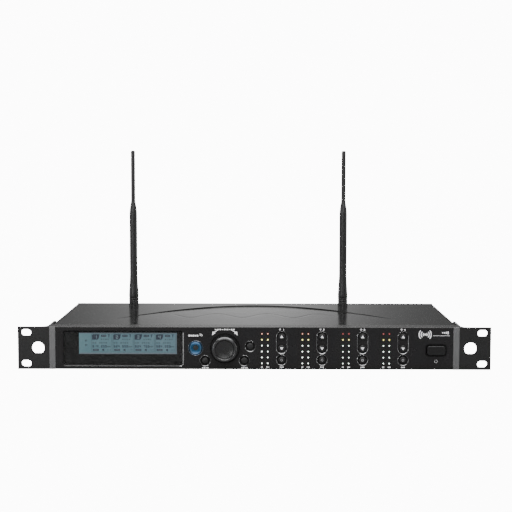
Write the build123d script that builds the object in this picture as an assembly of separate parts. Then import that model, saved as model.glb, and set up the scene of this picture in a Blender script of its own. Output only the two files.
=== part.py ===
"""A 1U, 19-inch rack-mount wireless receiver with four channels and two folding rear antennas.

Frame: +X to the right as seen from the front, +Y towards the rear, +Z up, millimetres. The origin is at the
middle of the bounding box's underside. The design is laid out with its fascia's front face at y = 0, and
every piece is moved forwards by DEPTH_SHIFT as it is written.
"""

import os
from math import cos, radians, sin, tan

from build123d import *

# ---- driving dimensions ------------------------------------------------------------------------------------
RACK_WIDTH = 482.6  # over the ears, the 19-inch standard
UNIT_HEIGHT = 43.6  # one rack unit, less its clearance
CASE_WIDTH = 418.4  # over the cover and the fascia
CASE_DEPTH = 200.0  # fascia front to rear panel
SHEET = 1.2  # steel sheet of the tray, cover and rear panel
FASCIA_DEPTH = 18.0
FASCIA_WALL = 2.4
FIT = 0.2  # gap between sheet-metal pieces that only lie side by side

HALF = CASE_WIDTH / 2
COVER_TOP = UNIT_HEIGHT - 0.4
REAR = CASE_DEPTH
REAR_INNER = REAR - SHEET
TRAY_FRONT = FASCIA_DEPTH + FIT

# ---- rack ears ---------------------------------------------------------------------------------------------
EAR_THICK = 3.0
EAR_FLANGE_THICK = 2.5
EAR_FLANGE_DEPTH = 45.0
EAR_FILLET = 8.0
SLOT_SPACING_X = 465.1
SLOT_SPACING_Z = 31.75
SLOT_LENGTH = 10.3
SLOT_RADIUS = 3.4
EAR_HOLE_X = 220.5
EAR_HOLE_RADIUS = 6.4
EAR_HOLE_FLAT = 5.45  # from the hole's axis down to its flat

# ---- front controls ----------------------------------------------------------------------------------------
DISH_DEPTH = 1.2  # every dished surround is this deep
TRIM_WIDTH = 6.5
TRIM_PROUD = 0.4
DISPLAY_X, DISPLAY_Z = -133.9, 21.4
DISPLAY_WIDTH, DISPLAY_HEIGHT = 121.2, 34.6
DISPLAY_BEVEL = 1.2
LCD_X, LCD_Z = -129.2, 26.2
LCD_WIDTH, LCD_HEIGHT = 100.0, 22.0
KNOB_X, KNOB_Z = -30.0, 21.8
KNOB_RADIUS = 13.1
KNOB_PROUD = 11.0
KNOB_DISH_RADIUS = 15.2
KNOB_PUSH = 0.8
SYNC_X, SYNC_Z = -59.9, 22.0
SYNC_RADIUS = 6.1
SYNC_DISH_RADIUS = 7.5
BUTTON_RADIUS = 3.5
BUTTON_GAP = 0.3
BUTTON_DISH_RADIUS = 5.5
BUTTON_TRAVEL = 0.8
FUNCTION_BUTTONS = {"menu_button": (-50.0, 9.0), "back_button": (-10.1, 9.0), "lock_button": (-4.2, 23.9)}
CHANNELS = 4
CHANNEL_PITCH = 41.27
CHANNEL_BUTTON_X = 27.9  # channel 1's buttons
UP_Z, DOWN_Z, SELECT_Z = 33.8, 21.8, 9.9
LED_X = 7.8  # channel 1's first column
LED_COLUMN_PITCH = 6.0
LED_TOP_Z, LED_ROW_PITCH, LED_ROWS = 36.9, 6.08, 6
LED_RADIUS = 1.1
POWER_X, POWER_Z = 185.4, 20.0
POWER_WIDTH, POWER_HEIGHT, POWER_CORNER = 18.7, 9.6, 2.2
POWER_DISH_MARGIN = 1.6
POWER_PROUD = 2.0
POWER_TRAVEL = 1.5

# ---- front board -------------------------------------------------------------------------------------------
BOARD_THICK = 1.6
FRONT_BOARD_Y = 9.0
SWITCH_HEIGHT = 3.5
BOSS_X, BOSS_Z = (-67.0, 166.0, 194.5), (5.4, 38.2)
POST_X, POST_Z = 203.0, (12.0, 31.0)
POST_RADIUS = 2.6
SHAFT_RADIUS = 3.0
BUSHING_RADIUS = 3.5
RUNNING = 0.05  # radial clearance of a shaft or pin that turns

# ---- rear connectors ---------------------------------------------------------------------------------------
AXIS_Z = 21.8
ANTENNA_X = {"left": -147.2, "right": 106.0}
XLR_X = (72.0, 38.0, 4.0, -30.0)
XLR_SHELL_RADIUS = 11.8
XLR_BORE_RADIUS = 9.7
XLR_DEPTH = 17.0
XLR_FLANGE = 2.0
JACK_X = (-60.0, -81.0, -102.0, -123.0)
JACK_BORE_RADIUS = 3.2
JACK_BORE_DEPTH = 22.0
DC_X = 190.0
DATA_X = 142.0

# ---- antennas ----------------------------------------------------------------------------------------------
BARREL_RADIUS = 4.8  # the bayonet socket's outside
SOCKET_BORE = 4.1
SOCKET_END = REAR + 17.5
LUG_Y = REAR + 12.0
COLLAR_START = REAR + 6.9
COLLAR_RADIUS = 7.4
PLUG_RADIUS = 6.0
PLUG_START = REAR + 18.0
HINGE_Y = REAR + 38.0
HINGE_PIN_RADIUS = 1.5
TONGUE_HALF = 2.95
FORK_HALF = 3.1
WHIP_LENGTH = 201.2  # hinge pin to tip

# The bounding box runs from the knob's face to the back of the antennas' ribbed boots.
BOOT_RADIUS = 5.9
FORK_END = HINGE_Y + PLUG_RADIUS
DEPTH_SHIFT = (FORK_END - KNOB_PROUD) / 2

MIRRORED = (-1, 1)


# ---- helpers -----------------------------------------------------------------------------------------------
def block(x, y, z):
    """A box between the two ends of each pair."""
    sizes = [high - low for low, high in (x, y, z)]
    centre = [(low + high) / 2 for low, high in (x, y, z)]
    return Pos(*centre) * Box(*sizes)


def rod(x, z, radius, y_start, y_end):
    """A cylinder along +Y."""
    middle = (y_start + y_end) / 2
    return Pos(x, middle, z) * Rot(90, 0, 0) * Cylinder(radius, abs(y_end - y_start))


def tube(x, z, outer, inner, y_start, y_end):
    return rod(x, z, outer, y_start, y_end) - rod(x, z, inner, y_start - 1, y_end + 1)


def cone(x, z, front_radius, back_radius, y_start, y_end):
    """A frustum along +Y, front_radius at y_start and back_radius at y_end."""
    middle = (y_start + y_end) / 2
    return Pos(x, middle, z) * Rot(-90, 0, 0) * Cone(front_radius, back_radius, y_end - y_start)


def front_plane(x, z, y=0.0):
    """A sketch plane that faces the front: its own x runs along +X, its own y up, and its normal to -Y."""
    return Plane(origin=(x, y, z), x_dir=(1, 0, 0), z_dir=(0, -1, 0))


def slab(x, z, outline, y_start, y_end):
    """An outline seen from the front, extruded from y_start back to y_end."""
    return extrude(front_plane(x, z, y_end) * outline, amount=y_end - y_start)


def dished(x, z, outline, depth=DISH_DEPTH, taper=45.0):
    """A dish cut from the front face whose wall narrows from the outline at y = 0 to the dish's floor."""
    return extrude(front_plane(x, z) * outline, amount=-depth, taper=taper)


def hexagon(x, z, across_flats, y_start, y_end):
    return slab(x, z, RegularPolygon(across_flats / 2, 6, major_radius=False), y_start, y_end)


def joined(shapes):
    """One shape from many that touch or overlap."""
    shapes = list(shapes)
    return shapes[0].fuse(*shapes[1:]) if len(shapes) > 1 else shapes[0]


def channel_x(channel):
    return CHANNEL_BUTTON_X + channel * CHANNEL_PITCH


def led_places(rows):
    """The x and z of every lamp in these rows, counted from the top."""
    for channel in range(CHANNELS):
        for column in range(2):
            for row in rows:
                x = LED_X + channel * CHANNEL_PITCH + column * LED_COLUMN_PITCH
                yield x, LED_TOP_Z - row * LED_ROW_PITCH


def button_places():
    """Every round button's name, x and z."""
    for name, (x, z) in FUNCTION_BUTTONS.items():
        yield name, x, z
    for channel in range(CHANNELS):
        for name, z in (("up", UP_Z), ("down", DOWN_Z), ("select", SELECT_Z)):
            yield f"channel_{channel + 1}_{name}_button", channel_x(channel), z


# ---- front -------------------------------------------------------------------------------------------------
def front_fascia():
    """The moulded front, open at the back, with a dished surround for each control."""
    shell = block((-HALF, HALF), (0, FASCIA_DEPTH), (0, UNIT_HEIGHT))
    shell = fillet(shell.edges().filter_by(Axis.X).group_by(Axis.Y)[0], 0.6)
    hollow = block(
        (-HALF + FASCIA_WALL, HALF - FASCIA_WALL),
        (FASCIA_WALL, FASCIA_DEPTH + 1),
        (FASCIA_WALL - 0.4, UNIT_HEIGHT - FASCIA_WALL + 0.4),
    )
    cuts = [hollow]
    for side in MIRRORED:
        ends = sorted((side * (HALF - TRIM_WIDTH), side * (HALF + 1)))
        cuts.append(block(ends, (-1, SHEET), (-1, UNIT_HEIGHT + 1)))
    window = RectangleRounded(
        DISPLAY_WIDTH + 2 * DISPLAY_BEVEL, DISPLAY_HEIGHT + 2 * DISPLAY_BEVEL, 3.2
    )
    cuts.append(dished(DISPLAY_X, DISPLAY_Z, window))
    cuts.append(
        slab(DISPLAY_X, DISPLAY_Z, RectangleRounded(DISPLAY_WIDTH, DISPLAY_HEIGHT, 2.0), 0.5, FASCIA_WALL + 1)
    )
    cuts.append(cone(KNOB_X, KNOB_Z, KNOB_DISH_RADIUS, KNOB_DISH_RADIUS - 0.8, 0, DISH_DEPTH))
    cuts.append(rod(KNOB_X, KNOB_Z, BUSHING_RADIUS + 0.3, 0, FASCIA_WALL + 1))
    cuts.append(cone(SYNC_X, SYNC_Z, SYNC_DISH_RADIUS, SYNC_RADIUS + 0.1, 0, DISH_DEPTH))
    cuts.append(rod(SYNC_X, SYNC_Z, SYNC_RADIUS + 0.1, 0.5, FASCIA_WALL + 1))
    for name, x, z in button_places():
        cuts.append(rod(x, z, BUTTON_RADIUS + BUTTON_GAP, 0, FASCIA_WALL + 1))
        if "up" not in name and "down" not in name:
            cuts.append(cone(x, z, BUTTON_DISH_RADIUS, BUTTON_RADIUS + BUTTON_GAP, 0, DISH_DEPTH))
    for channel in range(CHANNELS):
        pill = SlotCenterToCenter(UP_Z - DOWN_Z, 2 * BUTTON_DISH_RADIUS, rotation=90)
        cuts.append(dished(channel_x(channel), (UP_Z + DOWN_Z) / 2, pill))
    cuts += [rod(x, z, LED_RADIUS + RUNNING, -1, FASCIA_WALL + 1) for x, z in led_places(range(LED_ROWS))]
    dish = RectangleRounded(
        POWER_WIDTH + 2 * POWER_DISH_MARGIN, POWER_HEIGHT + 2 * POWER_DISH_MARGIN, 3.4
    )
    cuts.append(dished(POWER_X, POWER_Z, dish))
    opening = RectangleRounded(
        POWER_WIDTH + 2 * BUTTON_GAP, POWER_HEIGHT + 2 * BUTTON_GAP, POWER_CORNER + BUTTON_GAP
    )
    cuts.append(slab(POWER_X, POWER_Z, opening, 0, FASCIA_WALL + 1))
    posts = [
        tube(side * POST_X, z, POST_RADIUS, SCREW_HOLE, FASCIA_WALL, FASCIA_DEPTH)
        for side in MIRRORED
        for z in POST_Z
    ]
    bosses = [tube(x, z, POST_RADIUS, SCREW_HOLE, FASCIA_WALL, FRONT_BOARD_Y) for x in BOSS_X for z in BOSS_Z]
    return joined([shell.cut(*cuts), *posts, *bosses])


def trim_strip(side):
    """A thin satin strip with a rounded face, set into the end of the fascia."""
    width = TRIM_WIDTH - 0.1
    middle = side * (HALF - TRIM_WIDTH / 2)
    strip = block(
        (middle - width / 2, middle + width / 2), (-TRIM_PROUD, SHEET), (0, UNIT_HEIGHT)
    )
    front_edges = strip.edges().filter_by(Axis.Z).group_by(Axis.Y)[0]
    return fillet(front_edges, 0.7)


def display_lens():
    outline = RectangleRounded(DISPLAY_WIDTH - 0.1, DISPLAY_HEIGHT - 0.1, 1.95)
    return slab(DISPLAY_X, DISPLAY_Z, outline, DISH_DEPTH, DISH_DEPTH + 1.5)


def display_mask():
    """The opaque sheet behind the lens, with the display's opening."""
    sheet = slab(DISPLAY_X, DISPLAY_Z, Rectangle(DISPLAY_WIDTH + 3, DISPLAY_HEIGHT + 3), 2.7, 3.1)
    return sheet - slab(LCD_X, LCD_Z, Rectangle(LCD_WIDTH, LCD_HEIGHT), 2, 4)


def lcd_module():
    """The display's glass in its frame, with the backlight behind it."""
    body = slab(LCD_X, LCD_Z - 2.5, RectangleRounded(LCD_WIDTH + 10, LCD_HEIGHT + 8, 1.0), 3.2, 7.6)
    return body - slab(LCD_X, LCD_Z, Rectangle(LCD_WIDTH + 2, LCD_HEIGHT + 2), 3, 3.6)


def led_lens(x, z):
    """A light pipe with a domed end, from the front board out to the fascia's face."""
    pipe = rod(x, z, LED_RADIUS, -0.25, FRONT_BOARD_Y)
    tip = pipe.edges().group_by(Axis.Y)[0]
    return fillet(tip, 0.5)


def round_button(x, z):
    """A domed cap on a collar that keeps it behind the fascia."""
    cap = rod(x, z, BUTTON_RADIUS, 0.1, FASCIA_WALL + 0.3)
    cap = fillet(cap.edges().group_by(Axis.Y)[0], 0.5)
    collar = rod(x, z, BUTTON_RADIUS + 1.0, FASCIA_WALL + 0.3, FASCIA_WALL + 1.1)
    stem = rod(x, z, 1.6, FASCIA_WALL + 1.1, FASCIA_WALL + 1.5)
    return joined([cap, collar, stem])


def power_button():
    cap = slab(
        POWER_X,
        POWER_Z,
        RectangleRounded(POWER_WIDTH, POWER_HEIGHT, POWER_CORNER),
        -POWER_PROUD,
        FASCIA_WALL + 0.3,
    )
    cap = fillet(cap.edges().group_by(Axis.Y)[0], 0.8)
    collar = slab(
        POWER_X,
        POWER_Z,
        RectangleRounded(POWER_WIDTH + 2, POWER_HEIGHT + 2, POWER_CORNER),
        FASCIA_WALL + 0.3,
        FASCIA_WALL + 1.3,
    )
    return joined([cap, collar])


def control_knob():
    """A turned knob with a bevelled rim and a dished face, hollow at the back round the bushing."""
    half_profile = Polyline(
        (0, -KNOB_PROUD + 0.9),
        (KNOB_RADIUS - 3.2, -KNOB_PROUD + 0.5),
        (KNOB_RADIUS - 2.6, -KNOB_PROUD),
        (KNOB_RADIUS - 2.1, -KNOB_PROUD),
        (KNOB_RADIUS - 0.3, -KNOB_PROUD + 1.6),
        (KNOB_RADIUS, -KNOB_PROUD + 2.1),
        (KNOB_RADIUS, 0.2),
        (KNOB_RADIUS - 2.0, 0.2),
        (KNOB_RADIUS - 2.0, -6.5),
        (5.8, -6.5),
        (5.8, -5.0),
        (SHAFT_RADIUS, -5.0),
        (SHAFT_RADIUS, -8.0),
        (0, -8.0),
        close=True,
    )
    body = revolve(make_face(half_profile), Axis.Y)
    knurl = [
        Rot(0, 360 * turn / 48, 0) * Pos(KNOB_RADIUS + 0.32, -3.6, 0) * Rot(90, 0, 0) * Cylinder(0.55, 9)
        for turn in range(48)
    ]
    return Pos(KNOB_X, 0, KNOB_Z) * body.cut(*knurl)


def encoder_shaft():
    shaft = rod(KNOB_X, KNOB_Z, SHAFT_RADIUS, -8.0, 5.5)
    return chamfer(shaft.edges().group_by(Axis.Y)[0], 0.4)


def encoder_plunger():
    """The disc under the shaft's end that closes the push switch."""
    return rod(KNOB_X, KNOB_Z, 4.0, 5.6, 6.4) + rod(KNOB_X, KNOB_Z, 1.5, 6.4, 7.0)


def encoder_body():
    case = block((KNOB_X - 6.5, KNOB_X + 6.5), (2.8, FRONT_BOARD_Y), (KNOB_Z - 6.8, KNOB_Z + 6.8))
    bushing = rod(KNOB_X, KNOB_Z, BUSHING_RADIUS, -3.0, 2.8)
    room = rod(KNOB_X, KNOB_Z, 4.5, 4.2, 8.2)
    bore = rod(KNOB_X, KNOB_Z, SHAFT_RADIUS + RUNNING, -4, 4.3)
    return joined([case, bushing]).cut(room, bore)


def sync_cup():
    """The coloured cup of the short-range link's emitter, narrowing to the emitter in its middle."""
    outside = Polyline(
        (2.8, FRONT_BOARD_Y - 3.2),
        (2.8, 2.8),
        (SYNC_RADIUS - 1.9, 0.6),
        (SYNC_RADIUS - 1.0, -0.6),
        (SYNC_RADIUS - 0.3, -0.6),
        (SYNC_RADIUS, -0.2),
        (SYNC_RADIUS, FRONT_BOARD_Y - 3.2),
        close=True,
    )
    return Pos(SYNC_X, 0, SYNC_Z) * revolve(make_face(outside), Axis.Y)


def sync_emitter():
    can = rod(SYNC_X, SYNC_Z, 2.7, 2.4, FRONT_BOARD_Y)
    return fillet(can.edges().group_by(Axis.Y)[0], 0.4)


def front_board():
    board = block((-199, 199), (FRONT_BOARD_Y, FRONT_BOARD_Y + BOARD_THICK), (2.4, UNIT_HEIGHT - 2.4))
    holes = [rod(x, z, SCREW_HOLE, FRONT_BOARD_Y - 1, FRONT_BOARD_Y + 3) for x in BOSS_X for z in BOSS_Z]
    return board.cut(*holes)


def tact_switch(x, z, plunger_end):
    """A small push switch on the front board, its plunger a short gap behind a fully pressed button."""
    base = block((x - 3, x + 3), (FRONT_BOARD_Y - SWITCH_HEIGHT, FRONT_BOARD_Y), (z - 3, z + 3))
    return base + rod(x, z, 1.75, plunger_end, FRONT_BOARD_Y - SWITCH_HEIGHT)


def tact_switches():
    button_back = FASCIA_WALL + 1.5 + BUTTON_TRAVEL + 0.2
    switches = [tact_switch(x, z, button_back) for _, x, z in button_places()]
    switches.append(tact_switch(POWER_X, POWER_Z, FASCIA_WALL + 1.3 + POWER_TRAVEL + 0.1))
    return Compound(switches)


# ---- case --------------------------------------------------------------------------------------------------
SCREW_Y = (75.0, 130.0, 185.0)  # cover screws along each side
SCREW_Z = 7.5
EAR_SCREWS = ((32.0, 10.0), (32.0, 33.0))  # y and z of each ear's screws
REAR_SCREW_X = (-196.0, -91.5, 21.0, 125.0, 200.0)
REAR_SCREW_Z = 39.3
SCREW_HOLE = 1.6
SCREW_LENGTH = 5.0


def chassis_tray():
    """Floor, front wall and low sides, folded from one sheet."""
    side = HALF - SHEET - FIT
    floor = block((-side, side), (TRAY_FRONT, REAR_INNER - FIT), (0, SHEET))
    front = block((-side, side), (TRAY_FRONT, TRAY_FRONT + SHEET), (0, COVER_TOP - SHEET - FIT))
    folds = []
    for way in MIRRORED:
        ends = sorted((way * side, way * (side - SHEET)))
        folds.append(block(ends, (TRAY_FRONT, REAR_INNER - FIT), (0, 14.0)))
    body = joined([floor, front, *folds])
    cuts = [block((-20, 20), (TRAY_FRONT - 1, TRAY_FRONT + SHEET + 1), (12, 30))]
    for way in MIRRORED:
        for y, z in [(y, SCREW_Z) for y in SCREW_Y] + [EAR_SCREWS[0]]:
            cuts.append(Pos(way * side, y, z) * Rot(0, 90, 0) * Cylinder(SCREW_HOLE, 6))
        for z in POST_Z:
            cuts.append(rod(way * POST_X, z, SCREW_HOLE, TRAY_FRONT - 1, TRAY_FRONT + SHEET + 1))
    return body.cut(*cuts)


ARC_FRONT_Y = 63.0  # where the pressed arc starts, towards the front
ARC_PEAK_Y = 171.0
ARC_HALF_WIDTH = 144.0
ARC_DEPTH = 1.3  # at the peak; it runs out to nothing at the front


def arc_wedge(level):
    """The wedge between a level plane and one that dips towards the rear, inside a parabola's outline."""
    arc = [
        (x, ARC_PEAK_Y - (ARC_PEAK_Y - ARC_FRONT_Y) * (x / ARC_HALF_WIDTH) ** 2)
        for x in [ARC_HALF_WIDTH * step / 6 for step in range(-6, 7)]
    ]
    outline = make_face([Spline(*arc), Line(arc[-1], arc[0])])
    prism = Pos(0, 0, level - 2 * ARC_DEPTH) * extrude(outline, amount=2 * ARC_DEPTH)
    dip = Polyline(
        (ARC_FRONT_Y, level),
        (ARC_PEAK_Y + 5, level),
        (ARC_PEAK_Y + 5, level - ARC_DEPTH * (ARC_PEAK_Y + 5 - ARC_FRONT_Y) / (ARC_PEAK_Y - ARC_FRONT_Y)),
        close=True,
    )
    side_plane = Plane(origin=(-ARC_HALF_WIDTH, 0, 0), x_dir=(0, 1, 0), z_dir=(1, 0, 0))
    wedge = extrude(side_plane * make_face(dip), amount=2 * ARC_HALF_WIDTH)
    return prism & wedge


EMBLEM_Y = 124.0
EMBLEM_DEPTH = 0.5


def emblem_cuts():
    """A dot between two pairs of wave arcs, pressed into the cover as a plain ornament."""
    cuts = [Pos(0, EMBLEM_Y, COVER_TOP) * Cylinder(5.0, 6 * EMBLEM_DEPTH)]
    for radius in (22.0, 38.0):
        ring = Cylinder(radius + 1.6, 6 * EMBLEM_DEPTH) - Cylinder(radius - 1.6, 12 * EMBLEM_DEPTH)
        for side in MIRRORED:
            reach = sorted((0.0, side * 60.0))
            sector = block(reach, (-0.62 * radius, 0.62 * radius), (-5, 5))
            cuts.append(Pos(0, EMBLEM_Y, COVER_TOP) * (ring & sector))
    floor = block((-60, 60), (ARC_FRONT_Y, ARC_PEAK_Y), (COVER_TOP - SHEET * 0.8, COVER_TOP + 3))
    return [cut & floor for cut in cuts]


VENT_ROWS = (14.0, 20.0, 26.0, 32.0)
VENT_START, VENT_PITCH, VENT_COUNT, VENT_LENGTH = 66.0, 15.0, 8, 11.0


def top_cover():
    """Top and sides folded from one sheet, with vents in both sides and a pressed arc in the top."""
    ends = (TRAY_FRONT, REAR_INNER - FIT)
    top = block((-HALF, HALF), ends, (COVER_TOP - SHEET, COVER_TOP))
    sides = [
        block(sorted((way * HALF, way * (HALF - SHEET))), ends, (FIT, COVER_TOP)) for way in MIRRORED
    ]
    lip = block(
        (-HALF + SHEET, HALF - SHEET),
        (REAR_INNER - FIT - SHEET, REAR_INNER - FIT),
        (COVER_TOP - SHEET - 5.6, COVER_TOP - SHEET),
    )
    swell = Pos(0, 0, -SHEET) * arc_wedge(COVER_TOP)
    body = joined([top, *sides, lip, swell])
    cuts = [arc_wedge(COVER_TOP), *emblem_cuts()]
    slot = SlotOverall(VENT_LENGTH, 2.4)
    side_plane = Plane(origin=(-HALF - 1, 0, 0), x_dir=(0, 1, 0), z_dir=(1, 0, 0))
    for way in MIRRORED:
        shift = 0 if way < 0 else CASE_WIDTH - SHEET
        for z in VENT_ROWS:
            for index in range(VENT_COUNT):
                spot = Pos(VENT_START + index * VENT_PITCH, z) * slot
                cuts.append(Pos(shift, 0, 0) * extrude(side_plane * spot, amount=SHEET + 2))
        for y in SCREW_Y:
            cuts.append(Pos(way * HALF, y, SCREW_Z) * Rot(0, 90, 0) * Cylinder(SCREW_HOLE, 6))
        for y, z in EAR_SCREWS:
            cuts.append(Pos(way * HALF, y, z) * Rot(0, 90, 0) * Cylinder(SCREW_HOLE, 6))
    for x in REAR_SCREW_X:
        cuts.append(rod(x, REAR_SCREW_Z, SCREW_HOLE, REAR_INNER - 4, REAR_INNER + 1))
    return body.cut(*cuts)


def rear_panel():
    """The rear wall with the connectors' openings and two tabs that meet the tray's sides."""
    wall = block((-HALF, HALF), (REAR_INNER, REAR), (0, COVER_TOP))
    tabs = []
    for way in MIRRORED:
        inner = HALF - 2 * SHEET - 2 * FIT
        ends = sorted((way * inner, way * (inner - SHEET)))
        tabs.append(block(ends, (REAR_INNER - 12, REAR_INNER), (SHEET + FIT, 30)))
    body = joined([wall, *tabs])
    cuts = [rod(x, AXIS_Z, 6.4, REAR - 3, REAR + 1) for x in ANTENNA_X.values()]
    cuts += [rod(x, AXIS_Z, XLR_SHELL_RADIUS + 0.1, REAR - 3, REAR + 1) for x in XLR_X]
    cuts += [rod(x, AXIS_Z, 5.0, REAR - 3, REAR + 1) for x in JACK_X]
    cuts += [rod(x, REAR_SCREW_Z, SCREW_HOLE, REAR - 3, REAR + 1) for x in REAR_SCREW_X]
    cuts += [rod(x, z, SCREW_HOLE, REAR - 3, REAR + 1) for x, z in xlr_screw_places()]
    cuts.append(rod(DC_X, AXIS_Z, 5.6, REAR - 3, REAR + 1))
    cuts.append(slab(DATA_X, AXIS_Z, Rectangle(16.4, 13.6), REAR - 3, REAR + 1))
    return body.cut(*cuts)


def rack_ear(side):
    """An L-shaped bracket: the slotted ear, a hollow fillet and a flange screwed to the case's side."""
    inner, outer = HALF, RACK_WIDTH / 2
    flange = HALF + EAR_FLANGE_THICK
    turn = EAR_FILLET * (1 - cos(radians(45)))
    profile = make_face(
        [
            Polyline((inner, EAR_FLANGE_DEPTH), (inner, 0), (outer, 0), (outer, EAR_THICK)),
            Line((outer, EAR_THICK), (flange + EAR_FILLET, EAR_THICK)),
            ThreePointArc(
                (flange + EAR_FILLET, EAR_THICK),
                (flange + turn, EAR_THICK + turn),
                (flange, EAR_THICK + EAR_FILLET),
            ),
            Polyline(
                (flange, EAR_THICK + EAR_FILLET), (flange, EAR_FLANGE_DEPTH), (inner, EAR_FLANGE_DEPTH)
            ),
        ]
    )
    ear = extrude(profile, amount=UNIT_HEIGHT, dir=(0, 0, 1))
    ear = fillet(ear.edges().filter_by(Axis.Z).group_by(Axis.X)[-1].group_by(Axis.Y)[0], 0.5)
    cuts = []
    for way in MIRRORED:
        slot = SlotOverall(SLOT_LENGTH, 2 * SLOT_RADIUS)
        cuts.append(
            slab(SLOT_SPACING_X / 2, UNIT_HEIGHT / 2 + way * SLOT_SPACING_Z / 2, slot, -1, EAR_THICK + 1)
        )
    hole = rod(EAR_HOLE_X, AXIS_Z, EAR_HOLE_RADIUS, -1, EAR_THICK + EAR_FILLET)
    below_flat = (AXIS_Z - EAR_HOLE_FLAT - 10, AXIS_Z - EAR_HOLE_FLAT)
    flat = block((EAR_HOLE_X - 8, EAR_HOLE_X + 8), (-2, EAR_THICK + EAR_FILLET + 1), below_flat)
    cuts.append(hole - flat)
    for y, z in EAR_SCREWS:
        cuts.append(Pos(HALF, y, z) * Rot(0, 90, 0) * Cylinder(SCREW_HOLE, 8))
    ear = ear.cut(*cuts)
    return ear if side > 0 else mirror(ear, Plane.YZ)


def screw():
    """A pan-head screw along +Z with a cross recess; its head stands on z = 0 and its shank points down."""
    head = Pos(0, 0, 0.9) * Cylinder(2.7, 1.8)
    head = fillet(head.edges().group_by(Axis.Z)[-1], 0.9)
    shank = Pos(0, 0, -SCREW_LENGTH / 2) * Cylinder(SCREW_HOLE - 0.1, SCREW_LENGTH)
    recess = [Pos(0, 0, 1.8) * Rot(0, 0, turn) * Box(3.2, 0.7, 1.8) for turn in (0, 90)]
    return joined([head, shank]).cut(*recess)


def machine_screws():
    """Every screw of the case, the ears, the front board and the three-pin outputs; all are the same."""
    places = []
    for way in MIRRORED:
        places += [Pos(way * HALF, y, SCREW_Z) * Rot(0, 90 * way, 0) for y in SCREW_Y]
        flange = way * (HALF + EAR_FLANGE_THICK)
        places += [Pos(flange, y, z) * Rot(0, 90 * way, 0) for y, z in EAR_SCREWS]
        for z in POST_Z:
            places.append(Pos(way * POST_X, TRAY_FRONT + SHEET, z) * Rot(-90, 0, 0))
    for x in BOSS_X:
        for z in BOSS_Z:
            places.append(Pos(x, FRONT_BOARD_Y + BOARD_THICK, z) * Rot(-90, 0, 0))
    places += [Pos(x, REAR, REAR_SCREW_Z) * Rot(-90, 0, 0) for x in REAR_SCREW_X]
    places += [Pos(x, REAR + XLR_FLANGE, z) * Rot(-90, 0, 0) for x, z in xlr_screw_places()]
    return Compound([place * screw() for place in places])


# ---- electronics inside ------------------------------------------------------------------------------------
MAIN_BOARD_Z = 7.0
MAIN_BOARD_Y = (34.0, 172.0)
MAIN_BOARD_HALF = 192.0
STANDOFF_X = (-180.0, 20.0, 180.0)
STANDOFF_Y = (42.0, 164.0)
CAN_X = (-150.0, -90.0, 30.0, 90.0)  # the four receivers' shield cans
CAN_SIZE = (48.0, 70.0, 14.0)
SPLITTER_SIZE = (40.0, 34.0, 12.0)
SPLITTER_PLACE = (-30.0, 140.0)


def main_board():
    board = block((-MAIN_BOARD_HALF, MAIN_BOARD_HALF), MAIN_BOARD_Y, (MAIN_BOARD_Z, MAIN_BOARD_Z + BOARD_THICK))
    holes = [Pos(x, y, MAIN_BOARD_Z) * Cylinder(1.7, 6) for x in STANDOFF_X for y in STANDOFF_Y]
    return board.cut(*holes)


def board_standoffs():
    posts = []
    for x in STANDOFF_X:
        for y in STANDOFF_Y:
            post = extrude(Pos(x, y, SHEET) * RegularPolygon(3.0, 6), amount=MAIN_BOARD_Z - SHEET)
            stud = Pos(x, y, MAIN_BOARD_Z + 1.5) * Cylinder(1.5, 3.0)
            posts.append(post + stud)
    return Compound(posts)


def shield_can(x, y, size):
    """A folded tin box standing on the main board, with a row of holes in its lid."""
    width, depth, height = size
    base = MAIN_BOARD_Z + BOARD_THICK
    can = block((x - width / 2, x + width / 2), (y - depth / 2, y + depth / 2), (base, base + height))
    can = fillet(can.edges().filter_by(Axis.Z), 1.0)
    inside = block(
        (x - width / 2 + 0.5, x + width / 2 - 0.5),
        (y - depth / 2 + 0.5, y + depth / 2 - 0.5),
        (base - 1, base + height - 0.5),
    )
    holes = [Pos(x + 9 * step, y, base + height) * Cylinder(1.6, 4) for step in (-1, 0, 1)]
    return can.cut(inside, *holes)


def shield_cans():
    cans = [shield_can(x, 96.0, CAN_SIZE) for x in CAN_X]
    return Compound([*cans, shield_can(*SPLITTER_PLACE, SPLITTER_SIZE)])


def ribbon_cable():
    """The flat cable from the front board through the tray's front wall down to the main board."""
    top = MAIN_BOARD_Z + BOARD_THICK
    front = FRONT_BOARD_Y + BOARD_THICK
    line = FilletPolyline((front, 22), (34, 22), (42, 14), (42, top), radius=4.0)
    profile = make_face(offset(line, 0.5, side=Side.BOTH))
    plane = Plane(origin=(-14, 0, 0), x_dir=(0, 1, 0), z_dir=(1, 0, 0))
    cable = extrude(plane * profile, amount=28)
    trim = block((-20, 20), (front, 60), (top, 40))
    return cable & trim


def cable_path(points):
    """Straight runs joined by arcs, each as large as the shorter of its two runs allows."""
    radii = []
    for before, corner, after in zip(points, points[1:], points[2:]):
        run_in = Vector(*corner) - Vector(*before)
        run_out = Vector(*after) - Vector(*corner)
        half_turn = radians(run_in.get_angle(run_out)) / 2
        radii.append(0.45 * min(run_in.length, run_out.length) / tan(half_turn))
    return FilletPolyline(*points, radius=radii)


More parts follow.
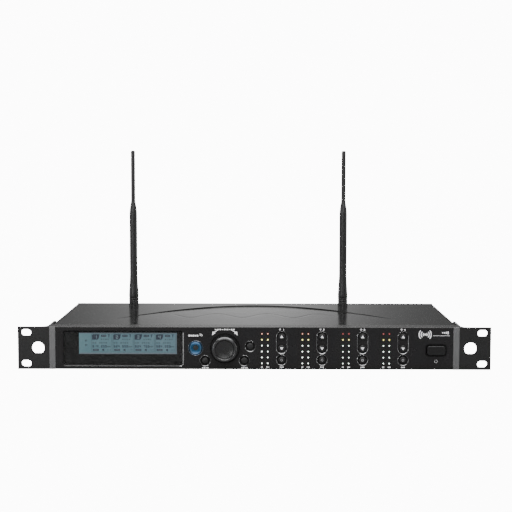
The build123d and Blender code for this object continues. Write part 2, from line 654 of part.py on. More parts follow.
def coax_leads():
    """A thin screened lead from each antenna socket to the lid of the splitter's can."""
    x_end, y_end = SPLITTER_PLACE
    lid = MAIN_BOARD_Z + BOARD_THICK + SPLITTER_SIZE[2]
    leads = []
    for x in ANTENNA_X.values():
        target = x_end + (10 if x > x_end else -10)
        span = target - x
        path = cable_path(
            [
                (x, REAR - 16, AXIS_Z),
                (x, REAR - 28, AXIS_Z),
                (x + 0.18 * span, y_end + 17, AXIS_Z + 6),
                (x + 0.5 * span, y_end + 8, AXIS_Z + 9),
                (x + 0.82 * span, y_end + 2, AXIS_Z + 9.5),
                (target, y_end, AXIS_Z + 8),
                (target, y_end, lid),
            ]
        )
        leads.append(sweep(Plane(origin=path @ 0, z_dir=path % 0) * Circle(0.9), path=path))
    return Compound(leads)


# ---- rear connectors ---------------------------------------------------------------------------------------
def bnc_socket(x):
    """A bayonet socket: block, threaded neck, barrel with two lugs and the mating bore."""
    body = [
        block((x - 6.5, x + 6.5), (REAR - 16, REAR_INNER), (AXIS_Z - 6.5, AXIS_Z + 6.5)),
        rod(x, AXIS_Z, 6.2, REAR_INNER, REAR + 6.5),
        rod(x, AXIS_Z, BARREL_RADIUS, REAR + 6.5, SOCKET_END),
        Pos(x, LUG_Y, AXIS_Z) * Rot(0, 90, 0) * Cylinder(1.0, 2 * (BARREL_RADIUS + 0.75)),
    ]
    return joined(body) - rod(x, AXIS_Z, SOCKET_BORE, REAR + 8, SOCKET_END + 1)


def bnc_contact(x):
    """The white insulator and centre contact inside a bayonet socket."""
    insulator = rod(x, AXIS_Z, 2.35, REAR + 8, REAR + 14.5)
    return insulator - rod(x, AXIS_Z, 0.75, REAR + 9, REAR + 15)


def connector_nuts():
    """The hexagon nuts on the antenna sockets' necks and the jack sockets' bushes."""
    nuts = []
    for x in ANTENNA_X.values():
        nuts.append(hexagon(x, AXIS_Z, 16.0, REAR, REAR + 3.0) - rod(x, AXIS_Z, 6.2, REAR - 1, REAR + 4))
    for x in JACK_X:
        nuts.append(hexagon(x, AXIS_Z, 13.0, REAR, REAR + 2.0) - rod(x, AXIS_Z, 4.8, REAR - 1, REAR + 4))
    return Compound(nuts)


def xlr_screw_places():
    """The x and z of the two screws in each three-pin output's flange."""
    for x in XLR_X:
        for way in MIRRORED:
            yield x + way * 10.2, AXIS_Z - way * 10.2


def xlr_shell(x):
    """A three-pin output's shell: square flange outside, round shell inside, keyed bore."""
    flange = slab(x, AXIS_Z, RectangleRounded(26.0, 26.0, 4.0), REAR, REAR + XLR_FLANGE)
    cup = rod(x, AXIS_Z, XLR_SHELL_RADIUS, REAR - XLR_DEPTH - 1.5, REAR)
    bore = rod(x, AXIS_Z, XLR_BORE_RADIUS, REAR - XLR_DEPTH, REAR + 3)
    keyway = block((x - 1.6, x + 1.6), (REAR - 8, REAR + 3), (AXIS_Z + 8, AXIS_Z + 11.2))
    holes = [rod(sx, sz, SCREW_HOLE, REAR - 1, REAR + 3) for sx, sz in xlr_screw_places()]
    return joined([flange, cup]).cut(bore, keyway, *holes)


def xlr_insert(x):
    """The moulded disc at the bottom of a shell that carries the three pins."""
    disc = rod(x, AXIS_Z, XLR_BORE_RADIUS, REAR - XLR_DEPTH, REAR - XLR_DEPTH + 2.5)
    return disc.cut(*[rod(px, pz, 1.2, REAR - XLR_DEPTH - 1, REAR) for px, pz in xlr_pin_places(x)])


def xlr_pin_places(x):
    for turn in (0, 120, 240):
        yield x + 4.0 * sin(radians(turn + 180)), AXIS_Z + 4.0 * cos(radians(turn + 180))


def xlr_pins():
    pins = []
    for x in XLR_X:
        for px, pz in xlr_pin_places(x):
            pin = rod(px, pz, 1.2, REAR - XLR_DEPTH, REAR - 3.0)
            pins.append(fillet(pin.edges().group_by(Axis.Y)[-1], 0.8))
    return Compound(pins)


def jack_socket(x):
    """A quarter-inch jack socket: moulded block inside, bush through the panel, open bore."""
    body = block((x - 8, x + 8), (REAR - 26, REAR_INNER), (AXIS_Z - 8, AXIS_Z + 8))
    bush = rod(x, AXIS_Z, 4.8, REAR_INNER, REAR + 3.5)
    bush = chamfer(bush.edges().group_by(Axis.Y)[-1], 0.5)
    return joined([body, bush]) - rod(x, AXIS_Z, JACK_BORE_RADIUS, REAR + 3.5 - JACK_BORE_DEPTH, REAR + 4)


def dc_inlet():
    """The low-voltage supply's inlet: round face, open bore and centre pin."""
    face = rod(DC_X, AXIS_Z, 6.6, REAR, REAR + 1.4)
    body = rod(DC_X, AXIS_Z, 5.5, REAR - 14, REAR)
    bore = rod(DC_X, AXIS_Z, 3.2, REAR - 10, REAR + 2)
    pin = rod(DC_X, AXIS_Z, 1.05, REAR - 10.5, REAR - 0.6)
    return joined([joined([face, body]) - bore, pin])


def data_port():
    """The control network's socket: a shielded block with a rectangular opening and a latch notch."""
    body = block((DATA_X - 8, DATA_X + 8), (REAR - 16, REAR + 0.6), (AXIS_Z - 6.6, AXIS_Z + 6.6))
    opening = block((DATA_X - 6, DATA_X + 6), (REAR - 13, REAR + 2), (AXIS_Z - 5, AXIS_Z + 2.6))
    notch = block((DATA_X - 2.4, DATA_X + 2.4), (REAR - 13, REAR + 2), (AXIS_Z + 2, AXIS_Z + 4.6))
    return body.cut(opening, notch)


# ---- antennas ----------------------------------------------------------------------------------------------
def antenna_collar(x):
    """The knurled bayonet collar: a groove inside for the lugs, and two ways in, a quarter turn from them."""
    ring = rod(x, AXIS_Z, COLLAR_RADIUS, COLLAR_START, PLUG_START + 4.5)
    ring = chamfer(ring.edges().filter_by(GeomType.CIRCLE), 0.5)
    cuts = [
        rod(x, AXIS_Z, BARREL_RADIUS + 0.25, COLLAR_START - 1, PLUG_START),
        rod(x, AXIS_Z, PLUG_RADIUS + 0.15, SOCKET_END + 0.3, PLUG_START + 6),
        rod(x, AXIS_Z, BARREL_RADIUS + 1.0, LUG_Y - 1.2, LUG_Y + 1.2),
        block(
            (x - 1.2, x + 1.2),
            (COLLAR_START - 1, LUG_Y),
            (AXIS_Z - BARREL_RADIUS - 1.0, AXIS_Z + BARREL_RADIUS + 1.0),
        ),
    ]
    for turn in range(28):
        angle = radians(360 * turn / 28)
        spot = (x + (COLLAR_RADIUS + 0.3) * cos(angle), AXIS_Z + (COLLAR_RADIUS + 0.3) * sin(angle))
        cuts.append(rod(*spot, 0.6, COLLAR_START + 2, PLUG_START + 3))
    return ring.cut(*cuts)


def antenna_base(x):
    """The plug and the fork behind it, which turn together in the socket."""
    sleeve = tube(x, AXIS_Z, SOCKET_BORE - 0.1, 3.4, REAR + 9.5, PLUG_START)
    contact = rod(x, AXIS_Z, 0.65, REAR + 10, PLUG_START)
    slot = block((x - FORK_HALF, x + FORK_HALF), (HINGE_Y - 7, FORK_END + 1), (AXIS_Z - 8, AXIS_Z + 8))
    hole = Pos(x, HINGE_Y, AXIS_Z) * Rot(0, 90, 0) * Cylinder(HINGE_PIN_RADIUS, 20)
    fork = rod(x, AXIS_Z, PLUG_RADIUS, PLUG_START, FORK_END).cut(slot, hole)
    nose = Pos(x, HINGE_Y, AXIS_Z) * Rot(0, 90, 0) * Cylinder(PLUG_RADIUS, 20)
    before_hinge = block((x - 10, x + 10), (PLUG_START - 1, HINGE_Y), (AXIS_Z - 10, AXIS_Z + 10))
    fork = fork & joined([nose, before_hinge])
    return joined([sleeve, contact, fork])


def antenna_pin(x):
    """The hinge pin, with a low head at each end."""
    pin = Cylinder(HINGE_PIN_RADIUS, 2 * PLUG_RADIUS + 0.6)
    return Pos(x, HINGE_Y, AXIS_Z) * Rot(0, 90, 0) * chamfer(pin.edges().filter_by(GeomType.CIRCLE), 0.3)


# Heights above the hinge pin, and radii, of the whip's outline.
RIB_START, RIB_PITCH, RIB_COUNT, RIB_DEPTH = 12.5, 2.2, 6, 0.45
FLARE_TOP, FLARE_RADIUS = 55.0, 4.6
TAPER_START, TAPER_END, ROD_RADIUS = 124.4, 142.5, 2.6
CAP_START = 193.0


def antenna_whip(x):
    """A tongue for the hinge, a ribbed boot, a flared sleeve, a thin rod and a cap, moulded as one."""
    bottom = 7.6
    outline = Polyline(
        (0, bottom),
        (BOOT_RADIUS - 0.8, bottom),
        (BOOT_RADIUS, bottom + 0.8),
        (BOOT_RADIUS, RIB_START + RIB_COUNT * RIB_PITCH),
        (5.2, 38.0),
        (FLARE_RADIUS, FLARE_TOP),
        (FLARE_RADIUS, TAPER_START),
        (ROD_RADIUS, TAPER_END),
        (ROD_RADIUS, WHIP_LENGTH - 1.4),
        (ROD_RADIUS - 1.1, WHIP_LENGTH),
        (0, WHIP_LENGTH),
        close=True,
    )
    stick = revolve(Plane.XZ * make_face(outline), Axis.Z)
    grooves = []
    for rib in range(RIB_COUNT):
        height = RIB_START + rib * RIB_PITCH
        grooves.append(
            Pos(0, 0, height) * (Cylinder(BOOT_RADIUS + 1, 0.8) - Cylinder(BOOT_RADIUS - RIB_DEPTH, 2))
        )
    grooves.append(
        Pos(0, 0, CAP_START) * (Cylinder(ROD_RADIUS + 1, 0.7) - Cylinder(ROD_RADIUS - 0.3, 2))
    )
    stick = stick.cut(*grooves)
    eye = Rot(0, 90, 0) * Cylinder(5.5, 2 * TONGUE_HALF)
    neck = block((-TONGUE_HALF, TONGUE_HALF), (-4.4, 4.4), (0, bottom))
    bore = Rot(0, 90, 0) * Cylinder(HINGE_PIN_RADIUS + RUNNING, 12)
    whip = joined([stick, eye, neck]) - bore
    return Pos(x, HINGE_Y, AXIS_Z) * whip


# ---- write every node --------------------------------------------------------------------------------------
def nodes():
    """Each node's name and shape."""
    yield "front_fascia", front_fascia()
    yield "trim_strips", Compound([trim_strip(side) for side in MIRRORED])
    yield "display_lens", display_lens()
    yield "display_mask", display_mask()
    yield "lcd_module", lcd_module()
    for name, rows in (("red", (0,)), ("yellow", (1,)), ("green", range(2, LED_ROWS))):
        yield f"led_lenses_{name}", Compound([led_lens(x, z) for x, z in led_places(rows)])
    for name, x, z in button_places():
        yield name, round_button(x, z)
    yield "power_button", power_button()
    yield "control_knob", control_knob()
    yield "encoder_shaft", encoder_shaft()
    yield "encoder_plunger", encoder_plunger()
    yield "encoder_body", encoder_body()
    yield "sync_cup", sync_cup()
    yield "sync_emitter", sync_emitter()
    yield "front_board", front_board()
    yield "tact_switches", tact_switches()
    yield "chassis_tray", chassis_tray()
    yield "top_cover", top_cover()
    yield "rear_panel", rear_panel()
    yield "rack_ear_left", rack_ear(-1)
    yield "rack_ear_right", rack_ear(1)
    yield "machine_screws", machine_screws()
    yield "main_board", main_board()
    yield "board_standoffs", board_standoffs()
    yield "shield_cans", shield_cans()
    yield "ribbon_cable", ribbon_cable()
    yield "coax_leads", coax_leads()
    yield "bnc_sockets", Compound([bnc_socket(x) for x in ANTENNA_X.values()])
    yield "bnc_contacts", Compound([bnc_contact(x) for x in ANTENNA_X.values()])
    yield "connector_nuts", connector_nuts()
    yield "xlr_shells", Compound([xlr_shell(x) for x in XLR_X])
    yield "xlr_inserts", Compound([xlr_insert(x) for x in XLR_X])
    yield "xlr_pins", xlr_pins()
    yield "jack_sockets", Compound([jack_socket(x) for x in JACK_X])
    yield "dc_inlet", dc_inlet()
    yield "data_port", data_port()
    for side, x in ANTENNA_X.items():
        yield f"antenna_collar_{side}", antenna_collar(x)
        yield f"antenna_base_{side}", antenna_base(x)
        yield f"antenna_pin_{side}", antenna_pin(x)
        yield f"antenna_whip_{side}", antenna_whip(x)


os.makedirs("parts", exist_ok=True)
for node, shape in nodes():
    export_step(Pos(0, -DEPTH_SHIFT, 0) * shape, f"parts/{node}.step")
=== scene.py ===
"""Looks of a one-unit rack-mount wireless receiver with four channels and two folding rear antennas."""

from math import cos, pi, radians, sin, sqrt

import bmesh
import bpy
from mathutils import Matrix, Vector


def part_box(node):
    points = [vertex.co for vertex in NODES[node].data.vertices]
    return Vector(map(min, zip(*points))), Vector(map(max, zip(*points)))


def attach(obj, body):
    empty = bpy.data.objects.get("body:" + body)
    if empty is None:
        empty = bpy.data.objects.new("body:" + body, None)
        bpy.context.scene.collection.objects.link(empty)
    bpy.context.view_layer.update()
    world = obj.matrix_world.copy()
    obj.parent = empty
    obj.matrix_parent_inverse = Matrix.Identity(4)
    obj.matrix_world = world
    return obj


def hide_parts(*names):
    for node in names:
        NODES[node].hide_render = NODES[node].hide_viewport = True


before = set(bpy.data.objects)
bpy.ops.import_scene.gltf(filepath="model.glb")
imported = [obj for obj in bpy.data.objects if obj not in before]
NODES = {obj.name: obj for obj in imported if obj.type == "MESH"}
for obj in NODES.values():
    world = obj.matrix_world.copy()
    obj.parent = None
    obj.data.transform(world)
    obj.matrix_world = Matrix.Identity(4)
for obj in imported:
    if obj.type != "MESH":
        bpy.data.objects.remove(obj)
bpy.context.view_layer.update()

# ---- places, in millimetres from the ears' front face, as the unit is laid out ----
MM = 0.001
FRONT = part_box("rack_ear_left")[0].y
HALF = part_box("top_cover")[1].x / MM
COVER_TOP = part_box("top_cover")[1].z / MM
COVER_FRONT = (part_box("top_cover")[0].y - FRONT) / MM
COVER_REAR = (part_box("top_cover")[1].y - FRONT) / MM
CHANNELS = 4


def centre(node):
    """The middle of a CAD node's box, in millimetres from the ears' front face."""
    low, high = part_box(node)
    middle = (low + high) / 2
    return middle.x / MM, (middle.y - FRONT) / MM, middle.z / MM


KNOB_X, _, KNOB_Z = centre("control_knob")
SYNC_X, _, SYNC_Z = centre("sync_cup")
POWER_X = centre("power_button")[0]
LCD_X = centre("lcd_module")[0]
LCD_Z = centre("lcd_module")[2] + 2.5
DISPLAY_X, _, DISPLAY_Z = centre("display_lens")
AXIS_Z = centre("antenna_pin_left")[2]
HINGE_Y = centre("antenna_pin_left")[1]
ANTENNA_X = {side: centre(f"antenna_pin_{side}")[0] for side in ("left", "right")}
CHANNEL_X = [centre(f"channel_{n}_up_button")[0] for n in range(1, CHANNELS + 1)]
UP_Z = centre("channel_1_up_button")[2]
DOWN_Z = centre("channel_1_down_button")[2]
SELECT_Z = centre("channel_1_select_button")[2]

# The lamps' left column from its channel's keys, the top row's height, and what repeats.
LAMP_OFFSET, LAMP_TOP_Z, LAMP_RADIUS = -20.1, 36.9, 1.1
LAMP_COLUMN_PITCH, LAMP_ROW_PITCH = 6.0, 6.08


def place(x, y, z):
    """A point in millimetres from the ears' front face, as metres in the row frame."""
    return Vector((x * MM, FRONT + y * MM, z * MM))


def in_scene(name, data):
    """A new object of this data, linked to the scene."""
    made = bpy.data.objects.new(name, data)
    bpy.context.scene.collection.objects.link(made)
    return made


# ---- camera ----
CAMERA_PLACE = (5.3, -1226.4, 221.1)
CAMERA_YAW, CAMERA_PITCH, CAMERA_ROLL = -0.003, 0.0852, 0.0016
CAMERA_LENS, CAMERA_SENSOR = 85.44, 36.0


def add_camera():
    """A long lens a little above the unit, looking slightly down on it."""
    level = cos(CAMERA_PITCH)
    forward = Vector((sin(CAMERA_YAW) * level, cos(CAMERA_YAW) * level, -sin(CAMERA_PITCH)))
    right = Vector((cos(CAMERA_YAW), -sin(CAMERA_YAW), 0))
    up = right.cross(forward)
    rolled_right = cos(CAMERA_ROLL) * right + sin(CAMERA_ROLL) * up
    rolled_up = -sin(CAMERA_ROLL) * right + cos(CAMERA_ROLL) * up
    data = bpy.data.cameras.new("camera")
    data.sensor_width = CAMERA_SENSOR
    data.lens = CAMERA_LENS
    data.clip_start = 0.01
    data.clip_end = 50
    camera = in_scene("camera", data)
    turn = Matrix((rolled_right, rolled_up, -forward)).transposed().to_4x4()
    camera.matrix_world = Matrix.Translation(place(*CAMERA_PLACE)) @ turn
    bpy.context.scene.camera = camera


# ---- materials ----
class Surface:
    """A procedural material: a Principled shader with colour, roughness and bump driven by noise."""

    def __init__(self, name, **inputs):
        self.material = bpy.data.materials.new(name)
        self.material.use_nodes = True
        self.tree = self.material.node_tree
        self.shader = self.tree.nodes["Principled BSDF"]
        for key, value in inputs.items():
            self.set(key.replace("_", " "), value)
        self.coordinates = self.node("ShaderNodeTexCoord").outputs["Object"]

    def set(self, socket, value):
        names = {s.name.lower(): s for s in self.shader.inputs}
        names[socket.lower()].default_value = value

    def node(self, kind, **settings):
        node = self.tree.nodes.new(kind)
        for key, value in settings.items():
            setattr(node, key, value)
        return node

    def link(self, source, target):
        self.tree.links.new(source, target)

    def noise(self, scale, detail=3.0, roughness=0.55, stretch=None):
        """Noise whose scale is in cycles per metre, optionally stretched along an axis."""
        noise = self.node("ShaderNodeTexNoise")
        noise.inputs["Scale"].default_value = scale
        noise.inputs["Detail"].default_value = detail
        noise.inputs["Roughness"].default_value = roughness
        source = self.coordinates
        if stretch:
            mapping = self.node("ShaderNodeMapping")
            mapping.inputs["Scale"].default_value = stretch
            self.link(source, mapping.inputs["Vector"])
            source = mapping.outputs["Vector"]
        self.link(source, noise.inputs["Vector"])
        return noise.outputs["Fac"]

    def ramp(self, factor, low, high, start=0.35, end=0.65):
        """A smooth blend between two values or two colours as the factor goes from start to end."""
        blend = self.node("ShaderNodeMapRange", interpolation_type="SMOOTHSTEP")
        blend.inputs["From Min"].default_value = start
        blend.inputs["From Max"].default_value = end
        self.link(factor, blend.inputs["Value"])
        if not isinstance(low, (tuple, list)):
            blend.inputs["To Min"].default_value = low
            blend.inputs["To Max"].default_value = high
            return blend.outputs["Result"]
        return self.mix(blend.outputs["Result"], (*low, 1), (*high, 1))

    def mix(self, factor, first, second, blend_type="MIX"):
        """Two colours combined; each is a value or a socket, and so is the factor."""
        mix = self.node("ShaderNodeMix", data_type="RGBA", blend_type=blend_type)
        sockets = mix.inputs["Factor"], mix.inputs[6], mix.inputs[7]
        for socket, value in zip(sockets, (factor, first, second)):
            if isinstance(value, bpy.types.NodeSocket):
                self.link(value, socket)
            else:
                socket.default_value = value
        return mix.outputs[2]

    def parts(self, vector):
        """A vector's X, Y and Z."""
        split = self.node("ShaderNodeSeparateXYZ")
        self.link(vector, split.inputs[0])
        return split.outputs

    def along(self, node):
        """From 0 at a CAD node's left end to 1 at its right end."""
        low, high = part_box(node)
        span = self.node("ShaderNodeMapRange")
        span.inputs["From Min"].default_value = low.x
        span.inputs["From Max"].default_value = high.x
        self.link(self.parts(self.coordinates)["X"], span.inputs["Value"])
        return span.outputs["Result"]

    def glow(self, colour, strength=1.0):
        self.link(colour, self.shader.inputs["Emission Color"])
        self.set("Emission Strength", strength)

    def colour(self, factor, low, high, start=0.35, end=0.65):
        self.link(self.ramp(factor, low, high, start, end), self.shader.inputs["Base Color"])

    def roughness(self, factor, low, high):
        self.link(self.ramp(factor, low, high), self.shader.inputs["Roughness"])

    def bump(self, factor, height, strength=1.0):
        """Bump of this height in metres."""
        bump = self.node("ShaderNodeBump")
        bump.inputs["Distance"].default_value = height
        bump.inputs["Strength"].default_value = strength
        self.link(factor, bump.inputs["Height"])
        self.link(bump.outputs["Normal"], self.shader.inputs["Normal"])
        return self


def scaled(colour, factor):
    return tuple(min(1.0, c * factor) for c in colour)


def grained(name, colour, rough=0.45, grain=900, height=0.00004, spread=0.12, **inputs):
    """Moulded or painted surface: fine grain, soft patches in colour and in gloss."""
    surface = Surface(name, **inputs)
    patches = surface.noise(28, 4)
    fine = surface.noise(grain, 3)
    surface.colour(patches, scaled(colour, 1 - spread), scaled(colour, 1 + spread))
    surface.roughness(surface.noise(60, 5), rough * 0.9, rough * 1.1)
    return surface.bump(fine, height, 0.5)


def brushed(name, colour, rough, along=(1, 1, 1), grain=2400, height=0.00003):
    """Metal with fine lines along one axis."""
    surface = Surface(name, Metallic=1.0)
    lines = surface.noise(grain, 2, stretch=along)
    surface.colour(lines, scaled(colour, 0.82), scaled(colour, 1.15), 0.3, 0.7)
    surface.roughness(surface.noise(90, 4), rough - 0.05, rough + 0.07)
    return surface.bump(lines, height, 0.6)


def glowing(name, colour, grey):
    """A symbol on the display: its own light varies slightly over its surface."""
    surface = Surface(name, Roughness=0.5)
    surface.set("Base Color", (grey, grey, grey, 1))
    speckle = surface.noise(700, 2)
    surface.glow(surface.ramp(speckle, scaled(colour, 0.86), colour))
    return surface.bump(speckle, 0.00002, 0.3)


def polished(name, colour, rough):
    """Metal whose lines are too fine to see."""
    return brushed(name, colour, rough, (1, 1, 1), 900, 0.000004)


def printed(name, colour, strength=0.0):
    """Ink on the front; the white one has a little painted glow to stay white in the shade."""
    surface = grained(name, colour, 0.55, 1500, 0.00001)
    # Painted glow: emission on the white ink, standing in for light.
    if strength:
        surface.set("Emission Color", (1.0, 1.0, 1.0, 1))
        surface.set("Emission Strength", strength)
    return surface


def make_materials():
    m = {}
    m["cover"] = grained("cover_paint", (0.003, 0.0029, 0.003), 0.14, 1500, 0.0000003, 0.08,
                         Specular_IOR_Level=0.5)
    m["ear"] = grained("ear_paint", (0.013, 0.013, 0.013), 0.46, 1600, 0.00002, 0.08, Specular_IOR_Level=0.4)
    m["fascia"] = grained("fascia_plastic", (0.0175, 0.0166, 0.0175), 0.26, 1400, 0.000006, 0.07,
                          Specular_IOR_Level=0.25)
    m["trim"] = brushed("trim_metal", (0.17, 0.17, 0.173), 0.45, (6, 6, 0.12), 1600, 0.000006)
    m["trim"].set("Metallic", 0.35)
    m["bezel"] = polished("bezel_metal", (0.50, 0.50, 0.51), 0.2)
    m["rim"] = polished("knob_rim_metal", (0.13, 0.13, 0.133), 0.26)
    # The display's lip in two copies of one metal: the bright one is painted highlight, the dim one painted
    # shade.
    m["lip_dim"] = polished("display_lip_dim", (0.10, 0.10, 0.102), 0.3)
    m["lip"] = polished("display_lip", (0.62, 0.62, 0.625), 0.22)
    m["steel"] = brushed("plain_steel", (0.56, 0.56, 0.56), 0.35, (1, 8, 1))
    m["nickel"] = brushed("satin_nickel", (0.55, 0.535, 0.50), 0.24, (1, 1, 1), 500, 0.00001)
    m["tinplate"] = brushed("bright_tinplate", (0.62, 0.62, 0.61), 0.28, (8, 1, 1), 900)
    m["screw"] = brushed("black_zinc", (0.09, 0.09, 0.095), 0.36, (1, 1, 1), 900)
    m["brass"] = brushed("turned_brass", (0.66, 0.47, 0.19), 0.3, (1, 1, 8), 900)
    m["black"] = grained("black_plastic", (0.012, 0.012, 0.0125), 0.5, 1100, 0.00005)
    m["mask"] = grained("mask_film", (0.0125, 0.0125, 0.0127), 0.6, 1100, 0.00001, 0.03)
    m["emitter"] = grained("smoked_window", (0.035, 0.038, 0.037), 0.25, 900, 0.00001)
    m["gloss"] = grained("gloss_black", (0.005, 0.005, 0.0052), 0.22, 1200, 0.00001)
    m["key"] = grained("key_rubber", (0.012, 0.012, 0.0125), 0.38, 1300, 0.00003)
    m["knob"] = grained("knob_skirt", (0.014, 0.014, 0.0148), 0.26, 1300, 0.000008, Specular_IOR_Level=0.9)
    m["knob_face"] = knob_face_surface()
    m["antenna"] = grained("antenna_rubber", (0.017, 0.017, 0.0173), 0.40, 1000, 0.00002)
    m["insulator"] = grained("insulator", (0.72, 0.71, 0.66), 0.4, 900)
    m["grey_cable"] = grained("grey_cable", (0.36, 0.36, 0.38), 0.5, 900)
    m["board"] = grained("solder_mask", (0.012, 0.085, 0.038), 0.35, 420, 0.00005, 0.25)
    m["print"] = printed("white_print", (0.90, 0.90, 0.90), 0.6)
    m["print_dim"] = printed("grey_print", (0.62, 0.62, 0.63))
    m["lens"] = lens_surface()
    m["lcd"] = lcd_surface()
    m["lcd_dark"] = glowing("lcd_dark", (0.042, 0.064, 0.095), 0.01)
    m["lcd_mid"] = glowing("lcd_mid", (0.115, 0.200, 0.232), 0.01)
    m["lcd_pale"] = glowing("lcd_pale", (0.205, 0.255, 0.300), 0.02)
    m["lcd_light"] = glowing("lcd_light", (0.24, 0.33, 0.38), 0.02)
    m["red"] = lamp_surface("lamp_red", (1.0, 0.62, 0.42), (0.22, 0.07, 0.08), (0.05, 0.006, 0.004), 3.4)
    m["yellow"] = lamp_surface("lamp_yellow", (1.0, 0.95, 0.40), (0.65, 0.55, 0.22), (0.03, 0.03, 0.004), 8.0)
    m["green"] = lamp_surface("lamp_green", (0.97, 1.0, 0.95), (0.80, 0.84, 0.78), (0.008, 0.014, 0.008),
                              10.0)
    m["sync"] = link_surface()
    return {key: surface.material for key, surface in m.items()}


def knob_face_surface():
    surface = Surface("knob_face", Specular_IOR_Level=0.7)
    grain = surface.noise(1500, 2.0, 0.5)
    surface.colour(grain, (0.005, 0.005, 0.0053), (0.007, 0.007, 0.0074))
    surface.roughness(surface.noise(80), 0.24, 0.30)
    return surface.bump(grain, 0.00001, 0.4)


def lens_surface():
    """A clear, slightly smoked window."""
    surface = Surface("display_lens_glass", Roughness=0.08, IOR=1.49, Alpha=0.2)
    surface.colour(surface.noise(200, 3), (0.010, 0.010, 0.010), (0.013, 0.013, 0.013))
    return surface.bump(surface.noise(30, 2), 0.0000005, 0.3)


def link_surface():
    """The blue link window: a faint painted glow that grows into painted highlights towards its top and
    bottom.
    """
    surface = Surface("link_window", Roughness=0.2, Coat_Weight=0.6, Coat_Roughness=0.08)
    cloud = surface.noise(160, 3)
    surface.colour(cloud, (0.012, 0.035, 0.06), (0.018, 0.05, 0.085))
    offset = surface.node("ShaderNodeMath", operation="SUBTRACT")
    surface.link(surface.parts(surface.coordinates)["Z"], offset.inputs[0])
    offset.inputs[1].default_value = SYNC_Z * MM
    distance = surface.node("ShaderNodeMath", operation="ABSOLUTE")
    surface.link(offset.outputs[0], distance.inputs[0])
    # Painted highlight: the glow is weak in the middle and strong towards the ring's top and bottom.
    middle, ends = (0.010, 0.044, 0.092), (0.075, 0.19, 0.38)
    surface.glow(surface.ramp(distance.outputs[0], middle, ends, 0.0028, 0.0056))
    return surface.bump(cloud, 0.00002, 0.3)


def lcd_surface():
    """The lit liquid-crystal glass: faint pixel lines and a backlight that shifts a little sideways."""
    surface = Surface("lcd_glass", Roughness=0.4)
    surface.set("Base Color", (0.02, 0.025, 0.028, 1))
    left, right = (0.168, 0.314, 0.360), (0.184, 0.310, 0.368)
    backlight = surface.ramp(surface.along("lcd_module"), left, right, 0.0, 1.0)
    patches = surface.ramp(surface.noise(60, 2), (0.90, 0.92, 0.94), (1.0, 1.0, 1.0))
    grid = surface.node("ShaderNodeTexWave", wave_type="BANDS", bands_direction="X")
    grid.inputs["Scale"].default_value = 330
    surface.link(surface.coordinates, grid.inputs["Vector"])
    pixels = surface.ramp(grid.outputs["Fac"], (0.94, 0.94, 0.94), (1.0, 1.0, 1.0), 0.2, 0.5)
    surface.glow(surface.mix(1.0, surface.mix(1.0, backlight, patches, "MULTIPLY"), pixels, "MULTIPLY"))
    return surface


def lamp_surface(name, left, right, rim, strength):
    """Lit light pipes, brightest mid-dome, shading from channel 1's colour to channel 4's."""
    surface = Surface(name, Roughness=0.15)
    surface.set("Base Color", (*scaled(rim, 0.3), 1))
    core = surface.ramp(surface.along("led_lenses_red"), left, right, 0.35, 0.65)
    facing = surface.parts(surface.node("ShaderNodeTexCoord").outputs["Normal"])["Y"]
    centred = surface.ramp(facing, 0.0, 1.0, -0.88, -0.995)
    surface.glow(surface.mix(centred, (*rim, 1), core), strength)
    return surface.bump(surface.noise(900, 2), 0.00001, 0.2)


# ---- mesh tools ----
def add_piece(name, mesh, material, body="case", smooth=True):
    piece = in_scene(name, mesh)
    if material:
        mesh.materials.clear()
        mesh.materials.append(material)
    mesh.polygons.foreach_set("use_smooth", [smooth] * len(mesh.polygons))
    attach(piece, body)
    return piece


def mesh_from(name, bm):
    bmesh.ops.recalc_face_normals(bm, faces=bm.faces)
    mesh = bpy.data.meshes.new(name)
    bm.to_mesh(mesh)
    bm.free()
    return mesh


def apply_modifiers(piece):
    depsgraph = bpy.context.evaluated_depsgraph_get()
    mesh = bpy.data.meshes.new_from_object(piece.evaluated_get(depsgraph))
    old = piece.data
    piece.modifiers.clear()
    piece.data = mesh
    bpy.data.meshes.remove(old)


def bevel(piece, width, segments, angle):
    """Rounds edges sharper than this angle; the width is in millimetres."""
    edges = piece.modifiers.new("bevel", "BEVEL")
    edges.width = width * MM
    edges.segments = segments
    edges.limit_method = "ANGLE"
    edges.angle_limit = radians(angle)
    edges.use_clamp_overlap = True
    apply_modifiers(piece)


def sharpen(piece, angle):
    """Smooth shading with sharp edges above this angle."""
    mesh = piece.data
    bm = bmesh.new()
    bm.from_mesh(mesh)
    for edge in bm.edges:
        edge.smooth = len(edge.link_faces) != 2 or edge.calc_face_angle(0) < radians(angle)
    for face in bm.faces:
        face.smooth = True
    bm.to_mesh(mesh)
    bm.free()


def level_normals(piece):
    """Shades large flat faces as flat, so that rounded edges don't streak across them."""
    weighted = piece.modifiers.new("normals", "WEIGHTED_NORMAL")
    weighted.keep_sharp = True
    weighted.weight = 100
    apply_modifiers(piece)


def lathe(bm, profile, at, axis="Y", segments=64):
    """Revolves (radius, distance) pairs about an axis through a point; ends on the axis close."""
    rings = []
    for radius, along in profile:
        ring = []
        steps = 1 if radius < 1e-6 else segments
        for step in range(steps):
            angle = 2 * pi * step / segments
            across, up = radius * cos(angle), radius * sin(angle)
            offset = {"X": (along, across, up), "Y": (across, along, up), "Z": (across, up, along)}[axis]
            ring.append(bm.verts.new(Vector(at) + Vector(offset) * MM))
        rings.append(ring)
    for first, second in zip(rings, rings[1:]):
        if len(first) == 1 and len(second) == 1:
            continue
        for step in range(segments):
            after = (step + 1) % segments
            if len(first) == 1:
                bm.faces.new((first[0], second[step], second[after]))
            elif len(second) == 1:
                bm.faces.new((first[step], second[0], first[after]))
            else:
                bm.faces.new((first[step], second[step], second[after], first[after]))
    return rings


